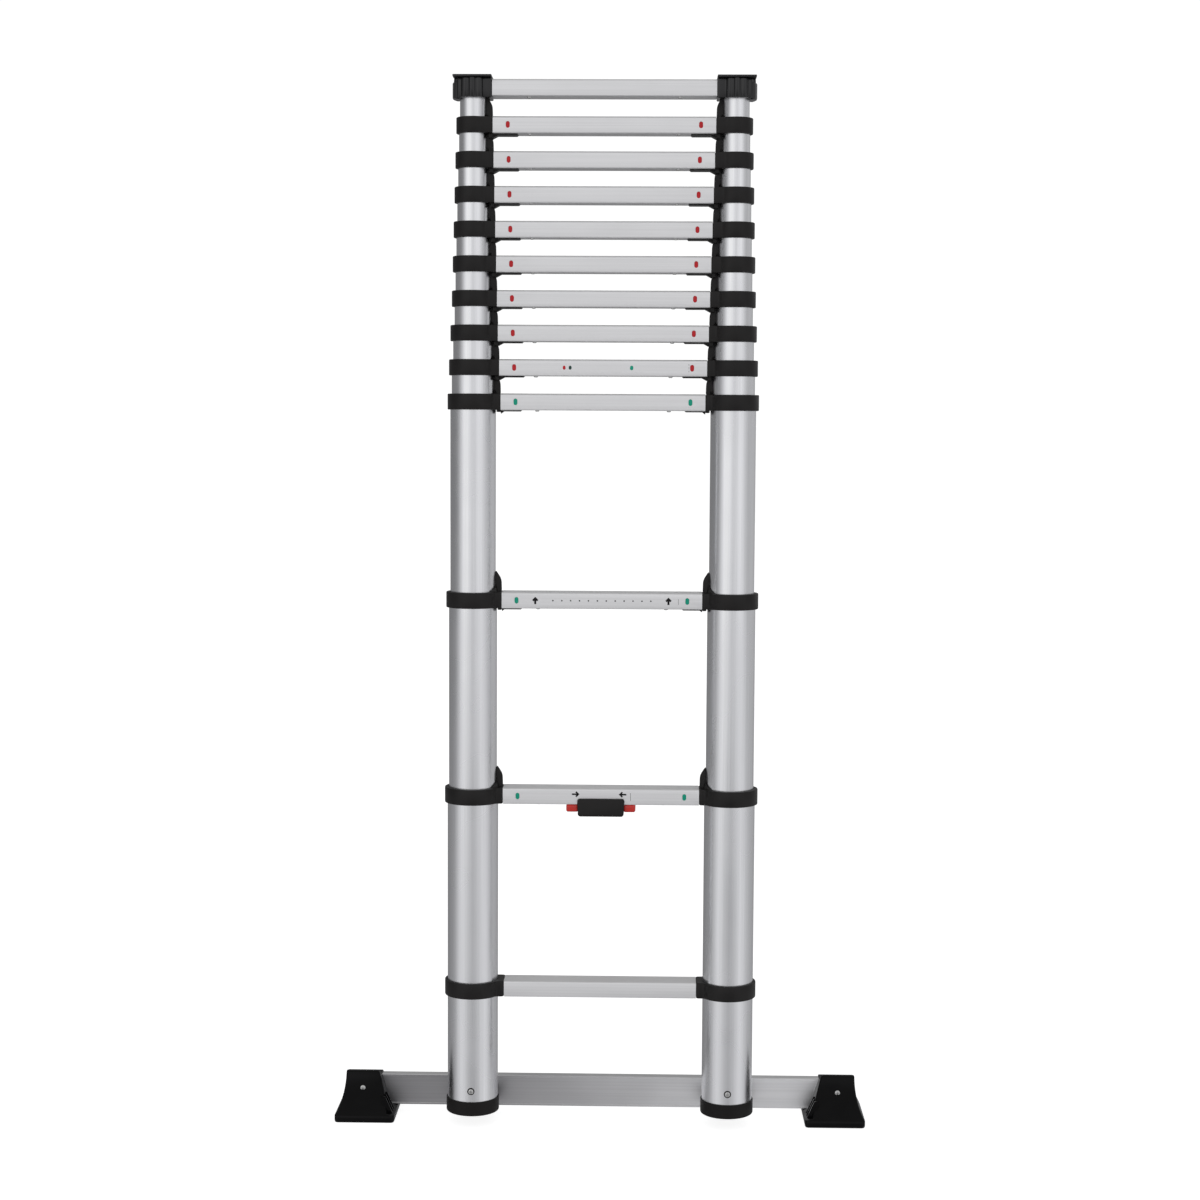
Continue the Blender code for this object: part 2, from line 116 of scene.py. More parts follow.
def arc(x, y, radius, start, turn, steps):
    """Points of an arc about (x, y). Its start and its turn are in half turns."""
    angles = [math.pi * (start + turn * i / steps) for i in range(steps + 1)]
    return [(x + radius * math.cos(angle), y + radius * math.sin(angle)) for angle in angles]


def rounded_outline(corners, first, steps):
    """An outline through rounded corners, each (x, y, radius). The first arc's start is in half turns."""
    points = []
    for quarter, (x, y, radius) in enumerate(corners):
        points += arc(x, y, radius, first + quarter / 2, 0.5, steps)
    return points


def rounded_corner(angle, ahead, aside, power):
    """Distance from the axis to a rectangle so far ahead and aside, rounder where the power is low."""
    front = ahead / math.cos(angle)
    flank = aside / max(abs(math.sin(angle)), 0.001)
    return (front ** -power + flank ** -power) ** (-1 / power)


def smooth_step(value):
    """0 below 0, 1 above 1, and smooth in between."""
    value = min(max(value, 0.0), 1.0)
    return value * value * (3 - 2 * value)


def placed(name, data):
    """A new object in the scene."""
    made = bpy.data.objects.new(name, data)
    bpy.context.scene.collection.objects.link(made)
    return made


def baked(shape):
    """The mesh of a bmesh, which is used up."""
    mesh = bpy.data.meshes.new("shape")
    shape.to_mesh(mesh)
    shape.free()
    return mesh


def finished(shape):
    """The mesh of a bmesh, with its faces turned outwards."""
    bmesh.ops.recalc_face_normals(shape, faces=shape.faces)
    return baked(shape)


def grid(rows, capped=True):
    """A surface through closed rows of points. Capped fills the first and the last row, and without caps
    the last row joins the first."""
    shape = bmesh.new()
    verts = [[shape.verts.new(point) for point in row] for row in rows]
    pairs = list(zip(verts, verts[1:]))
    if not capped:
        pairs.append((verts[-1], verts[0]))
    count = len(verts[0])
    for low, high in pairs:
        for i in range(count):
            j = (i + 1) % count
            shape.faces.new((low[i], low[j], high[j], high[i]))
    if capped:
        shape.faces.new(verts[0])
        shape.faces.new(verts[-1])
    return finished(shape)


def revolved(profile, sides=64, ring=False):
    """A solid of revolution about Z through (radius, z) pairs. A ring's last pair joins its first."""
    angles = [2 * math.pi * i / sides for i in range(sides)]
    return grid([[polar(radius, angle, z) for angle in angles] for radius, z in profile], capped=not ring)


def drawn(outline, start, end, axis=1):
    """A flat outline drawn along an axis: 0 for X, 1 for Y and 2 for Z."""
    return grid([[(*point[:axis], reach, *point[axis:]) for point in outline] for reach in (start, end)])


def rounded_box(low, high, radius, segments=3):
    """A box with rounded edges."""
    shape = bmesh.new()
    bmesh.ops.create_cube(shape, size=1)
    size = Vector(high) - Vector(low)
    bmesh.ops.scale(shape, vec=size, verts=shape.verts)
    bmesh.ops.translate(shape, vec=(Vector(high) + Vector(low)) / 2, verts=shape.verts)
    bmesh.ops.bevel(shape, geom=shape.edges[:], offset=radius, segments=segments, profile=0.5,
                    affect="EDGES")
    return finished(shape)


def stadium(width, height, steps=8):
    """An upright rounded outline in (x, z)."""
    radius = width / 2
    reach = height / 2 - radius
    return arc(0, reach, radius, 0, 1, steps) + arc(0, -reach, radius, 1, 1, steps)


def moved(mesh, x=0.0, y=0.0, z=0.0):
    """The mesh itself, moved."""
    mesh.transform(Matrix.Translation((x, y, z)))
    return mesh


def turned(mesh, angle, axis):
    """The mesh itself, turned about an axis through the origin."""
    mesh.transform(Matrix.Rotation(angle, 4, axis))
    return mesh


def flipped(mesh):
    """A mirror image of the mesh across X = 0."""
    shape = bmesh.new()
    shape.from_mesh(mesh)
    bmesh.ops.scale(shape, vec=(-1, 1, 1), verts=shape.verts)
    bmesh.ops.reverse_faces(shape, faces=shape.faces)
    return baked(shape)


def joined(*meshes):
    """Several closed meshes as one."""
    shape = bmesh.new()
    for mesh in meshes:
        shape.from_mesh(mesh)
    return baked(shape)


def combined(mesh, *tools, operation="DIFFERENCE"):
    """The mesh with each tool cut from it in turn, or joined to it, as a new mesh."""
    for tool in tools:
        body = placed("boolean_body", mesh)
        other = placed("boolean_tool", tool)
        modifier = body.modifiers.new("boolean", "BOOLEAN")
        modifier.operation = operation
        modifier.object = other
        modifier.solver = "EXACT"
        modifier.use_self = True
        view = bpy.context.evaluated_depsgraph_get()
        mesh = bpy.data.meshes.new_from_object(body.evaluated_get(view))
        for thing in (body, other):
            bpy.data.objects.remove(thing)
    return mesh


def piece(name, mesh, surface, body, replaces=(), angle=35):
    """A named piece, shaded smooth up to an angle, that rides on a body."""
    mesh.name = name
    mesh.materials.clear()
    mesh.materials.append(surface)
    mesh.shade_smooth()
    mesh.set_sharp_from_angle(angle=math.radians(angle))
    made = placed(name, mesh)
    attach(made, body)
    if replaces:
        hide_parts(*replaces)


def twice(mesh, x):
    """Two copies of a mesh as one, at -X and at +X."""
    return joined(moved(mesh.copy(), -x), moved(mesh.copy(), x))


def at_rail(mesh, side, z):
    """A left shape about its tube's axis as a new mesh, at the left or the right tube."""
    if side == "right":
        return moved(flipped(mesh), RAIL_X, RAIL_Y, z)
    return moved(mesh.copy(), -RAIL_X, RAIL_Y, z)


def pair(name, mesh, z, surface, body, slot, *replaced):
    """A left shape as two pieces, one at each tube. The names have {} where the side goes."""
    for side in SIDES:
        nodes = [node.format(side) for node in replaced]
        piece(name.format(side), at_rail(mesh, side, z), surface, body, nodes)


def on_rung(number, name, mesh, surface, replaces=(), angle=35):
    """A named piece on a rung, from a mesh about the rung's middle."""
    mesh = moved(mesh, 0, RAIL_Y, RUNG_Z[number])
    piece(name, mesh, surface, body_of(number), replaces, angle)


def both_sides(mesh):
    """A right shape and its mirror image, each with its side."""
    return (("right", mesh), ("left", flipped(mesh)))


# Materials

def link(tree, source, target):
    """Gives an input its source: a node's first output, an output, or a value."""
    if isinstance(source, bpy.types.Node):
        source = source.outputs[0]
    if isinstance(source, bpy.types.NodeSocket):
        tree.links.new(source, target)
    else:
        target.default_value = source


def add(tree, kind, inputs=None, **settings):
    """A new shader node with its settings, and with sources for some of its inputs by name or number."""
    node = tree.nodes.new("ShaderNode" + kind)
    for name, value in settings.items():
        setattr(node, name, value)
    for key, source in (inputs or {}).items():
        link(tree, source, node.inputs[key])
    return node


def mixed(tree, factor, first, second):
    """Two colours mixed by a factor."""
    return add(tree, "Mix", {0: factor, 6: first, 7: second}, data_type="RGBA").outputs[2]


class Surface:
    """A Principled material whose textures follow the object's own coordinates."""

    def __init__(self, name, metallic=0.0, specular=0.5):
        self.material = bpy.data.materials.new(name)
        self.material.use_nodes = True
        self.tree = self.material.node_tree
        self.shader = self.tree.nodes["Principled BSDF"]
        self.shader.inputs["Metallic"].default_value = metallic
        self.shader.inputs["Specular IOR Level"].default_value = specular
        self.place = add(self.tree, "TexCoord").outputs

    def noise(self, scale, stretch=(1, 1, 1), detail=3.0, rough=0.55):
        """Noise of so many spots a metre, stretched along the axes that have a small factor."""
        place = add(self.tree, "Mapping", {"Vector": self.place["Object"], "Scale": stretch})
        return add(self.tree, "TexNoise",
                   {"Vector": place, "Scale": scale, "Detail": detail, "Roughness": rough})

    def ramp(self, value, low, high, start=0.3, end=0.7):
        """A colour that goes from low to high as the value goes from start to end."""
        node = add(self.tree, "ValToRGB", {"Fac": value})
        for element, position, color in zip(node.color_ramp.elements, (start, end), (low, high)):
            element.position = position
            element.color = (*color, 1)
        return node

    def spread(self, value, low, high, start=0.3, end=0.7):
        """A number that goes from low to high as the value goes from start to end."""
        limits = {"From Min": start, "From Max": end, "To Min": low, "To Max": high}
        return add(self.tree, "MapRange", {"Value": value, **limits}, interpolation_type="SMOOTHSTEP")

    def part(self, vector, axis):
        """One part of a vector."""
        return add(self.tree, "SeparateXYZ", {0: vector}).outputs[axis]

    def finish(self, color, roughness, *bumps):
        """The material with its colour, its roughness and its bumps, each a height and a depth in metres."""
        normal = None
        for height, depth in bumps:
            inputs = {"Strength": 1.0, "Distance": depth, "Height": height}
            if normal:
                inputs["Normal"] = normal
            normal = add(self.tree, "Bump", inputs)
        for name, node in (("Base Color", color), ("Roughness", roughness), ("Normal", normal)):
            link(self.tree, node, self.shader.inputs[name])
        return self.material


GRAIN_SHARE = 0.15  # depth of the metal's fine grain, as a share of its lines' depth
WAVE_SHARE = 1.5  # depth of the plastic's soft waves, as a share of its grain's depth
UPRIGHT = (1, 1, 0.006)
LENGTHWISE = (0.006, 1, 1)
PAINTED_SHADE_REACH = 0.34  # painted shade makes the bar dark this far left of the middle, and painted light makes it bright this far right
FINE, MEDIUM, COARSE = 0.00001, 0.00002, 0.00004  # depths of a plastic's grain


def drawn_metal(name, low, high, streak, rough_low, rough_high, depth, spots=420):
    """Satin metal with fine lines along one axis, and soft patches where it is duller."""
    made = Surface(name, metallic=1.0)
    lines = made.noise(spots, streak, detail=5.0, rough=0.7)
    color = made.ramp(lines, low, high, 0.25, 0.75)
    roughness = made.spread(made.noise(9, detail=2.0), rough_low, rough_high)
    return made.finish(color, roughness, (lines, depth), (made.noise(2600, detail=2.0), depth * GRAIN_SHARE))


def moulded(name, low, high, rough_low, rough_high, grain_depth=COARSE, specular=0.5):
    """Moulded plastic or rubber with a fine eroded grain and soft scuffs."""
    made = Surface(name, specular=specular)
    scuffs = made.noise(38, detail=5.0, rough=0.65)
    waves = made.noise(60, detail=1.0)
    grain = made.noise(900, detail=4.0, rough=0.6)
    return made.finish(made.ramp(scuffs, low, high, 0.35, 0.75), made.spread(scuffs, rough_low, rough_high),
                       (waves, grain_depth * WAVE_SHARE), (grain, grain_depth))


def brushed_bar():
    """Mill-finish bar, brushed along its length, with painted shade towards its left end and a painted
    highlight where it faces up.
    """
    made = Surface("brushed_bar", metallic=1.0)
    lines = made.noise(260, LENGTHWISE, detail=5.0, rough=0.7)
    # painted shade and painted light: the bar's colour goes from a shaded copy at its left end to a lit copy
    # at its right
    painted_shade_color = made.ramp(lines, (0.3, 0.296, 0.305), (0.38, 0.376, 0.385), 0.25, 0.75)
    painted_light_color = made.ramp(lines, (0.86, 0.86, 0.87), (0.98, 0.98, 0.99), 0.25, 0.75)
    # painted highlight: faces that point up are paler
    painted_top_highlight = made.ramp(lines, (0.86, 0.86, 0.86), (0.94, 0.94, 0.94), 0.25, 0.75)
    painted_shade_share = made.spread(made.part(made.place["Object"], "X"), 0.0, 1.0, -PAINTED_SHADE_REACH, PAINTED_SHADE_REACH)
    top_highlight_share = made.spread(made.part(made.place["Normal"], "Z"), 0.0, 1.0, 0.4, 0.8)
    color = mixed(made.tree, top_highlight_share, mixed(made.tree, painted_shade_share, painted_shade_color, painted_light_color), painted_top_highlight)
    return made.finish(color, made.spread(made.noise(9, detail=2.0), 0.34, 0.44), (lines, 0.00003))


tube_metal = drawn_metal(
    "anodised_tube", (0.78, 0.785, 0.8), (0.88, 0.885, 0.9), UPRIGHT, 0.22, 0.3, 0.000012)
rung_metal = drawn_metal(
    "rung_extrusion", (0.8, 0.8, 0.805), (0.9, 0.9, 0.905), LENGTHWISE, 0.46, 0.56, 0.000016)
bar_metal = brushed_bar()
steel = drawn_metal(
    "zinc_steel", (0.5, 0.5, 0.49), (0.66, 0.66, 0.65), (1, 1, 1), 0.22, 0.34, 0.00001, spots=900)
plastic = moulded(
    "collar_plastic", (0.008, 0.007, 0.0068), (0.013, 0.0116, 0.0112), 0.36, 0.5, COARSE, 0.28)
cap_plastic = moulded(
    "cap_plastic", (0.0028, 0.0028, 0.0034), (0.0055, 0.0055, 0.0064), 0.15, 0.24, FINE, 0.55)
disc_plastic = moulded("cap_disc_plastic", (0.052, 0.034, 0.03), (0.07, 0.048, 0.042), 0.38, 0.5)
red_plastic = moulded("button_plastic", (0.74, 0.034, 0.024), (0.84, 0.046, 0.034), 0.18, 0.26, FINE)
red_flag = moulded("red_flag", (0.66, 0.022, 0.03), (0.78, 0.034, 0.044), 0.35, 0.45, FINE, 0.3)
green_flag = moulded("green_flag", (0.008, 0.42, 0.27), (0.016, 0.52, 0.34), 0.35, 0.45, FINE, 0.3)
dark_green_ink = moulded("dark_green_ink", (0.01, 0.05, 0.04), (0.02, 0.07, 0.055), 0.45, 0.55)
ink = moulded("label_ink", (0.006, 0.006, 0.007), (0.01, 0.01, 0.011), 0.45, 0.55, FINE, 0.2)
rubber = moulded(
    "plug_rubber", (0.006, 0.005, 0.0046), (0.0095, 0.0084, 0.008), 0.42, 0.58, COARSE, 0.22)
gloss_rubber = moulded(
    "shoe_rubber", (0.0016, 0.0016, 0.0018), (0.003, 0.003, 0.0032), 0.16, 0.26, MEDIUM, 0.14)


# Tubes

TUBE_SIDES = 96
EDGE_ROUND = 0.0003
HOLE_RADIUS = 0.006
DRILL_SIDES = 24
HOLE_MARGIN = 0.012  # rings of edges this far from a lock hole keep its shading local
TOP_TUBE_WALL = 0.001
TUBE_STEP_GAP = 0.00035  # radial gap between nested tubes
RUNG_PITCH = RUNG_Z[4] - RUNG_Z[3]


def tube_profile(outer, inner, low, high, holes):
    """Cross-section of a tube's wall, with rounded lips and extra levels beside each hole."""
    edge = EDGE_ROUND
    beside = [hole + step for hole in holes for step in (-HOLE_MARGIN, HOLE_MARGIN)]
    levels = sorted(z for z in beside if low + edge < z < high - edge)
    outside = [(outer - edge, low), (outer, low + edge)]
    outside += [(outer, z) for z in levels]
    outside += [(outer, high - edge), (outer - edge, high)]
    inside = [(inner + edge, high), (inner, high - edge)]
    inside += [(inner, z) for z in reversed(levels)]
    inside += [(inner, low + edge), (inner + edge, low)]
    return outside + inside


def tube_mesh(number):
    """A left tube about its axis, with its real heights and its lock holes towards the rung."""
    low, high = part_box(tube_node("left", number))
    outer = RADIUS[number]
    inner = RADIUS[number + 1] + TUBE_STEP_GAP if number < TOP_RUNG else outer - TOP_TUBE_WALL
    holes = []
    if number < TOP_RUNG:
        holes.append(RUNG_Z[number])
    if number > BASE_RUNG:
        holes.append(RUNG_Z[number] - RUNG_PITCH)
    mesh = revolved(tube_profile(outer, inner, low.z, high.z, holes), TUBE_SIDES, ring=True)
    for height in holes:
        drill = revolved([(HOLE_RADIUS, 0.0), (HOLE_RADIUS, outer)], DRILL_SIDES)
        drill = moved(turned(drill, math.pi / 2, "Y"), outer / 2, 0, height)
        mesh = combined(mesh, drill)
    return mesh


def make_tubes():
    """The base tubes and the two tubes of each moving section."""
    for number in range(BASE_RUNG, TOP_RUNG + 1):
        body = body_of(number)
        pair(body + "_anodised_tube_{}", tube_mesh(number), 0, tube_metal, body, "anodised_tube",
             tube_node("{}", number))


# Collars

SIDE_ON = 0.02  # an angle with a smaller cosine looks past the front of the block
ROUND_SHARE = 0.29  # an edge's rounding has its middle point this share in from both faces
COLLAR_HALF = 0.012  # half of a collar's height
COLLAR_PROUD = 0.0042  # ring outside its own tube
COLLAR_EDGE = 0.0012  # rounding of the ring's edges
BLOCK_HALF = 0.0215  # half of the block's depth
BLOCK_POWER = 26  # how sharp the block's corners are
FIN_POWER = 30
JOIN_POWER = 40  # and the corner between the ring and the block
FIN_HALF = 0.005  # half of the fin's depth
FIN_TOP = 0.043  # fin's tip above the rung's middle
FIN_TIP_DROP = 0.001  # how much lower the fin's tip is at its flanks
FIN_FACE = (  # height above the rung's middle, and distance from the tube above
    (0.012, 0.0095), (0.0266, 0.0091), (0.0305, 0.0085), (0.034, 0.007), (0.0385, 0.0042),
    (FIN_TOP, 0.0012))
FIN_LEVELS = 15
BIG_FILLET_RUNGS = (2, 3)  # collars that carry a drawn-out section have the bigger fillet
BIG_FILLET = (0.015, 0.0135)  # how far it reaches across the tube, and its height
SMALL_FILLET = (0.004, 0.0075)
WEB_LOW = 0.004  # thickness of the fillet at the ring's top and at its own top
WEB_HIGH = 0.0015
TUBE_LIP = 0.0103  # a tube ends inside its collar this far above the rung's middle
POCKET_TOP = -0.0075  # space for the tip of the fin below
POCKET_EXTRA = 0.006
POCKET_CLEAR = 0.0008  # space beside the fin, and least wall round it
LEDGE = 0.0006  # flat part of the fin's top
THIN = 0.0002  # least step between two rows of the collar's surface
FINE_STEP = math.radians(2.4)  # between the collar's columns towards the rung
WIDE_FROM = math.radians(76)  # and from here round the back
WIDE_STEP = math.radians(4)
FLANK_STEP = 0.007  # first column beyond the fin's flank
LAST_CAD_COLLAR = 4  # the CAD model has the collars up to this rung
BOLT_DRILL_RADIUS = 0.0054


def fillet(number):
    """How far the fillet beside a fin reaches across the tube, and its height."""
    return BIG_FILLET if number in BIG_FILLET_RUNGS else SMALL_FILLET


def block_radius(number, angle):
    """Distance from the axis to the rounded rectangle of the rung's block, or 0 on the far side."""
    if math.cos(angle) <= SIDE_ON:
        return 0.0
    return rounded_corner(angle, block_face(number), BLOCK_HALF, BLOCK_POWER)


def plan_radius(number, angle):
    """Distance from the axis to the collar's outside: the ring, or the block where it reaches further."""
    ring = RADIUS[number] + COLLAR_PROUD
    block = block_radius(number, angle)
    return ring * (1 + (block / ring) ** JOIN_POWER) ** (1 / JOIN_POWER)


def fin_reach(height):
    """How far the fin's face is from the tube above at a height above the rung's middle."""
    for (low, near), (high, far) in zip(FIN_FACE, FIN_FACE[1:]):
        if height <= high:
            share = max((height - low) / (high - low), 0.0)
            return near + (far - near) * share
    return FIN_FACE[-1][1]


def fin_angle(number):
    """Angle where the fin's flank meets the tube above."""
    return math.asin(FIN_HALF / (PASSING[number] + WEB_HIGH))


def web(number, height):
    """Thickness of the fillet round the tube at a height above the rung's middle."""
    share = smooth_step((height - COLLAR_HALF) / fillet(number)[1])
    return WEB_LOW + (WEB_HIGH - WEB_LOW) * share


def upper_radius(number, angle, height):
    """Distance from the axis to the outside of the fin or its fillet."""
    passing = PASSING[number]
    thick = web(number, height)
    if math.cos(angle) <= SIDE_ON:
        return passing + thick
    reach = fin_reach(height)
    fin = rounded_corner(angle, passing + reach, FIN_HALF, FIN_POWER)
    return max(fin, passing + min(thick, reach))


def across(number, angle):
    """How far the tube above bends away from its side towards the rung at an angle, seen from the front."""
    return PASSING[number] * (1 - math.cos(angle))


def collar_top(number, angle):
    """Height of the collar's top at an angle: the fin, its elliptical fillet, or the ring."""
    turn = abs(angle)
    flank = fin_angle(number)
    if number == 1:
        return COLLAR_HALF
    if turn <= flank:
        return FIN_TOP - FIN_TIP_DROP * (turn / flank) ** 4
    reach, height = fillet(number)
    share = 1 - (across(number, turn) - across(number, flank)) / reach
    if share <= 0:
        return COLLAR_HALF
    return COLLAR_HALF + height * (1 - math.sqrt(max(1 - share * share, 0))) ** 1.2


def pocket_depth(number, angle):
    """How far the collar's bore is widened at its foot for the fin of the collar below."""
    if number <= BASE_RUNG:
        return EDGE_ROUND
    edge = math.asin((FIN_HALF + POCKET_CLEAR) / (RADIUS[number] + 0.001))
    return EDGE_ROUND + POCKET_EXTRA * smooth_step((edge - abs(angle)) / 0.04 + 1)


def collar_column(number, angle):
    """The collar's cross-section at an angle, as (radius, height) pairs up the outside and down the bore."""
    half = COLLAR_HALF
    edge = COLLAR_EDGE
    bend = ROUND_SHARE * edge
    own = RADIUS[number] + FIT_GAP
    passing = PASSING[number] + FIT_GAP
    plan = plan_radius(number, angle)
    pocket = own + min(pocket_depth(number, angle), plan - own - edge - POCKET_CLEAR)
    top = collar_top(number, angle)
    rise = smooth_step((top - half) / 0.003)
    points = [(pocket, -half), (plan - edge, -half), (plan - bend, -half + bend), (plan, -half + edge),
              (plan, half - edge), (plan - bend, half - bend), (plan - edge, half)]
    ledge = min(upper_radius(number, angle, half) + 2 * THIN, plan - edge - THIN)
    for i in range(FIN_LEVELS):
        share = i / (FIN_LEVELS - 1)
        height = half + (top - half) * share
        flat = (plan - edge) + (passing + LEDGE - plan + edge) * (0.1 + 0.9 * share)
        up = ledge if i == 0 else upper_radius(number, angle, height)
        points.append((flat + (up - flat) * rise, height))
    last = points[-1][0]
    points.append((min(passing + LEDGE / 2, last - THIN / 2), top + THIN / 2 * rise))
    points.append((passing, top - LEDGE))
    if number > 1:
        points.append((passing, TUBE_LIP + THIN))
        points.append((own, TUBE_LIP))
    points.append((own, POCKET_TOP))
    points.append((pocket, POCKET_TOP - THIN))
    return points


def column_angles(number):
    """Angles round the collar, closest together at the fin, its fillet and the block's corners."""
    flank = fin_angle(number)
    reach = fillet(number)[0] + across(number, flank)
    start = flank + FLANK_STEP
    end = math.acos(1 - reach / PASSING[number])
    fixed = [flank * i / 3 for i in range(4)]
    fixed += [start + (end - start) * i / 12 for i in range(13)]
    angles = [FINE_STEP * i for i in range(30)] + [WIDE_FROM + WIDE_STEP * i for i in range(26)]
    spaced = [a for a in angles if all(abs(a - f) > 0.01 for f in fixed)]
    around = sorted(a for a in spaced + fixed if a < math.pi - 0.01)
    return [-a for a in reversed(around) if a > 0] + around + [math.pi]


def collar_mesh(number):
    """A left collar about its tube's axis, with the rung's middle at Z = 0."""
    columns = []
    for angle in column_angles(number):
        columns.append([polar(radius, angle, z) for radius, z in collar_column(number, angle)])
    return grid(columns, capped=False)


def drill_for_bolt(number):
    """The bore that a lock bolt slides in."""
    start = RADIUS[number] * 0.7
    end = block_face(number) + 0.004
    drill = revolved([(BOLT_DRILL_RADIUS, 0.0), (BOLT_DRILL_RADIUS, end - start)], DRILL_SIDES)
    return moved(turned(drill, math.pi / 2, "Y"), start)


def make_collars():
    """A pair of collars for each rung from 1 to 12."""
    for number in range(1, TOP_RUNG):
        name = f"collar_{{}}_{number:02d}"
        mesh = collar_mesh(number)
        if number in BOLTED_RUNGS:
            mesh = combined(mesh, drill_for_bolt(number))
        replaced = [name] if number <= LAST_CAD_COLLAR else []
        pair(name + "_moulding", mesh, RUNG_Z[number], plastic, body_of(number), "black_plastic", *replaced)


# Rungs

RUNG_WALL = 0.0018
RUNG_CORNER = 0.0016  # rounding of the rung's lower edges
RUNG_TOP_CORNER = 0.0034
RUNG_INNER_CORNER = 0.0004
TREAD_GROOVES = 9
TREAD_PITCH = 0.0036
TREAD_DEPTH = 0.0005
TREAD_HALF = 0.0013  # half of a groove's width at its top, and at its floor
TREAD_FLOOR_HALF = 0.0006
WINDOW_WIDTH = 0.006
WINDOW_HEIGHT = 0.0101
WINDOW_INSET = 0.0225  # indicator window from the collar's block
WINDOWED_RUNGS = range(BASE_RUNG, TOP_RUNG)
FLAG_DEPTH = 0.0008  # flag behind the rung's front, and its thickness
FLAG_GAP = 0.0003
FLAG_RIDGE = 0.0012  # width of the ridge up the flag's middle
FLAG_RIDGE_SHARE = 0.55  # its height, as a share of the window's
FIRST_RED_RUNG = 5
RELEASE_SLOT_X = 0.034  # middle of a lock rod arm's slot in the second rung's floor
RELEASE_SLOT_HALF = 0.0102  # half of its length, and of its width
RELEASE_SLOT_SIDE = 0.0068


def corner_points(sign_y, sign_z, radius, start):
    """Outer and inner (y, z) points of a rounded corner of the rung, for a quarter turn."""
    y, z = sign_y * RUNG_DEPTH / 2, sign_z * RUNG_HEIGHT / 2
    within = RUNG_WALL + RUNG_INNER_CORNER
    outer = arc(y - sign_y * radius, z - sign_z * radius, radius, start, 0.5, 4)
    inner = arc(y - sign_y * within, z - sign_z * within, RUNG_INNER_CORNER, start, 0.5, 4)
    return list(zip(outer, inner))


def rung_section():
    """The hollow rung's cross-section: outer and inner points in step, with grip grooves along the top."""
    z = RUNG_HEIGHT / 2
    points = corner_points(-1, -1, RUNG_CORNER, 1)
    points += corner_points(1, -1, RUNG_CORNER, 1.5)
    points += corner_points(1, 1, RUNG_TOP_CORNER, 0)
    groove = ((TREAD_HALF, 0), (TREAD_FLOOR_HALF, TREAD_DEPTH), (-TREAD_FLOOR_HALF, TREAD_DEPTH),
              (-TREAD_HALF, 0))
    for i in range(TREAD_GROOVES):
        middle_y = ((TREAD_GROOVES - 1) / 2 - i) * TREAD_PITCH
        for offset, drop in groove:
            points.append(((middle_y + offset, z - drop), (middle_y + offset, z - RUNG_WALL)))
    points += corner_points(-1, 1, RUNG_TOP_CORNER, 0.5)
    return points


def rung_half(number):
    """Half of a rung's length."""
    return RAIL_X - block_face(number) - FIT_GAP


def release_slot():
    """The cutter for one slot in the second rung's floor."""
    floor = -RUNG_HEIGHT / 2
    return rounded_box((-RELEASE_SLOT_HALF, -RELEASE_SLOT_SIDE, floor - 0.002),
                       (RELEASE_SLOT_HALF, RELEASE_SLOT_SIDE, floor + RUNG_WALL + 0.002), 0.001, 2)


def rung_mesh(number):
    """A rung with its middle at the origin."""
    half = rung_half(number)
    rows = []
    for outer, inner in rung_section():
        rows.append([(-half, *outer), (half, *outer), (half, *inner), (-half, *inner)])
    mesh = grid(rows, capped=False)
    front = -RUNG_DEPTH / 2
    cutters = []
    if number in WINDOWED_RUNGS:
        window = drawn(stadium(WINDOW_WIDTH, WINDOW_HEIGHT), front - 0.002, front + RUNG_WALL + 0.001)
        cutters.append(twice(window, half - WINDOW_INSET))
    if number == BASE_RUNG:
        cutters.append(twice(release_slot(), RELEASE_SLOT_X))
    return combined(mesh, joined(*cutters)) if cutters else mesh


def make_rungs():
    """The thirteen rungs with their indicator flags."""
    for number in RUNGS:
        name = f"rung_{number:02d}"
        on_rung(number, name + "_extrusion", rung_mesh(number), rung_metal, [name], 25)
        if number in WINDOWED_RUNGS:
            make_flags(number)


def make_flags(number):
    """The coloured flags behind a rung's two windows, each with the ridge of its slider."""
    name, surface = ("red", red_flag) if number >= FIRST_RED_RUNG else ("green", green_flag)
    front = -RUNG_DEPTH / 2 + FLAG_DEPTH
    plate = drawn(stadium(WINDOW_WIDTH - FLAG_GAP, WINDOW_HEIGHT - FLAG_GAP), front, front + FLAG_DEPTH)
    ridge = drawn(stadium(FLAG_RIDGE, WINDOW_HEIGHT * FLAG_RIDGE_SHARE), front - 0.0003, front + 0.0002)
    flags = twice(joined(plate, ridge), rung_half(number) - WINDOW_INSET)
    on_rung(number, f"indicator_flags_{name}_{number:02d}", flags, surface)


# Screws and the triggers under the rungs

SCREW_RADIUS = 0.0031
SCREW_HEIGHT = 0.0021
SCREW_INSET = 0.055  # from the collar's block
SCREW_BACK = -0.006
PLATE_THICK = 0.0018  # also how much its end slopes
PLATE_HALF = 0.013
PLATE_GAP = 0.0002  # under the rung, and beside the collar
FOOT_FROM = 0.0064  # feet beside the fin below, from the collar's block inwards
FOOT_INNER = 0.0068
FOOT_OUTER = 0.0128
GUSSET_HALF = 0.009
# Length of the plate, drop of the feet, and length and height of the gusset. The trigger of a closed
# section hangs lower.
OPEN_TRIGGER = (0.031, 0.0034, 0.0042, 0.0032)
CLOSED_TRIGGER = (0.0375, 0.007, 0.0078, 0.0042)
LAST_OPEN_RUNG = 4


def pan_head(radius, height):
    """A pan-head screw with a cross recess, whose top points up."""
    neck = radius * 0.55
    profile = [(neck, -0.004), (neck, 0.0), (radius, 0.0)]
    profile += [(radius * 0.45 + x, height * (0.35 + 0.65 * z / neck)) for x, z in arc(0, 0, neck, 0, 0.5, 5)]
    arm = radius * 0.62
    width = radius * 0.14
    cross = rounded_box((-arm, -width, height * 0.45), (arm, width, height + 0.001), width * 0.4, 1)
    other = turned(cross.copy(), math.pi / 2, "Z")
    return combined(revolved(profile, 32), cross, other)


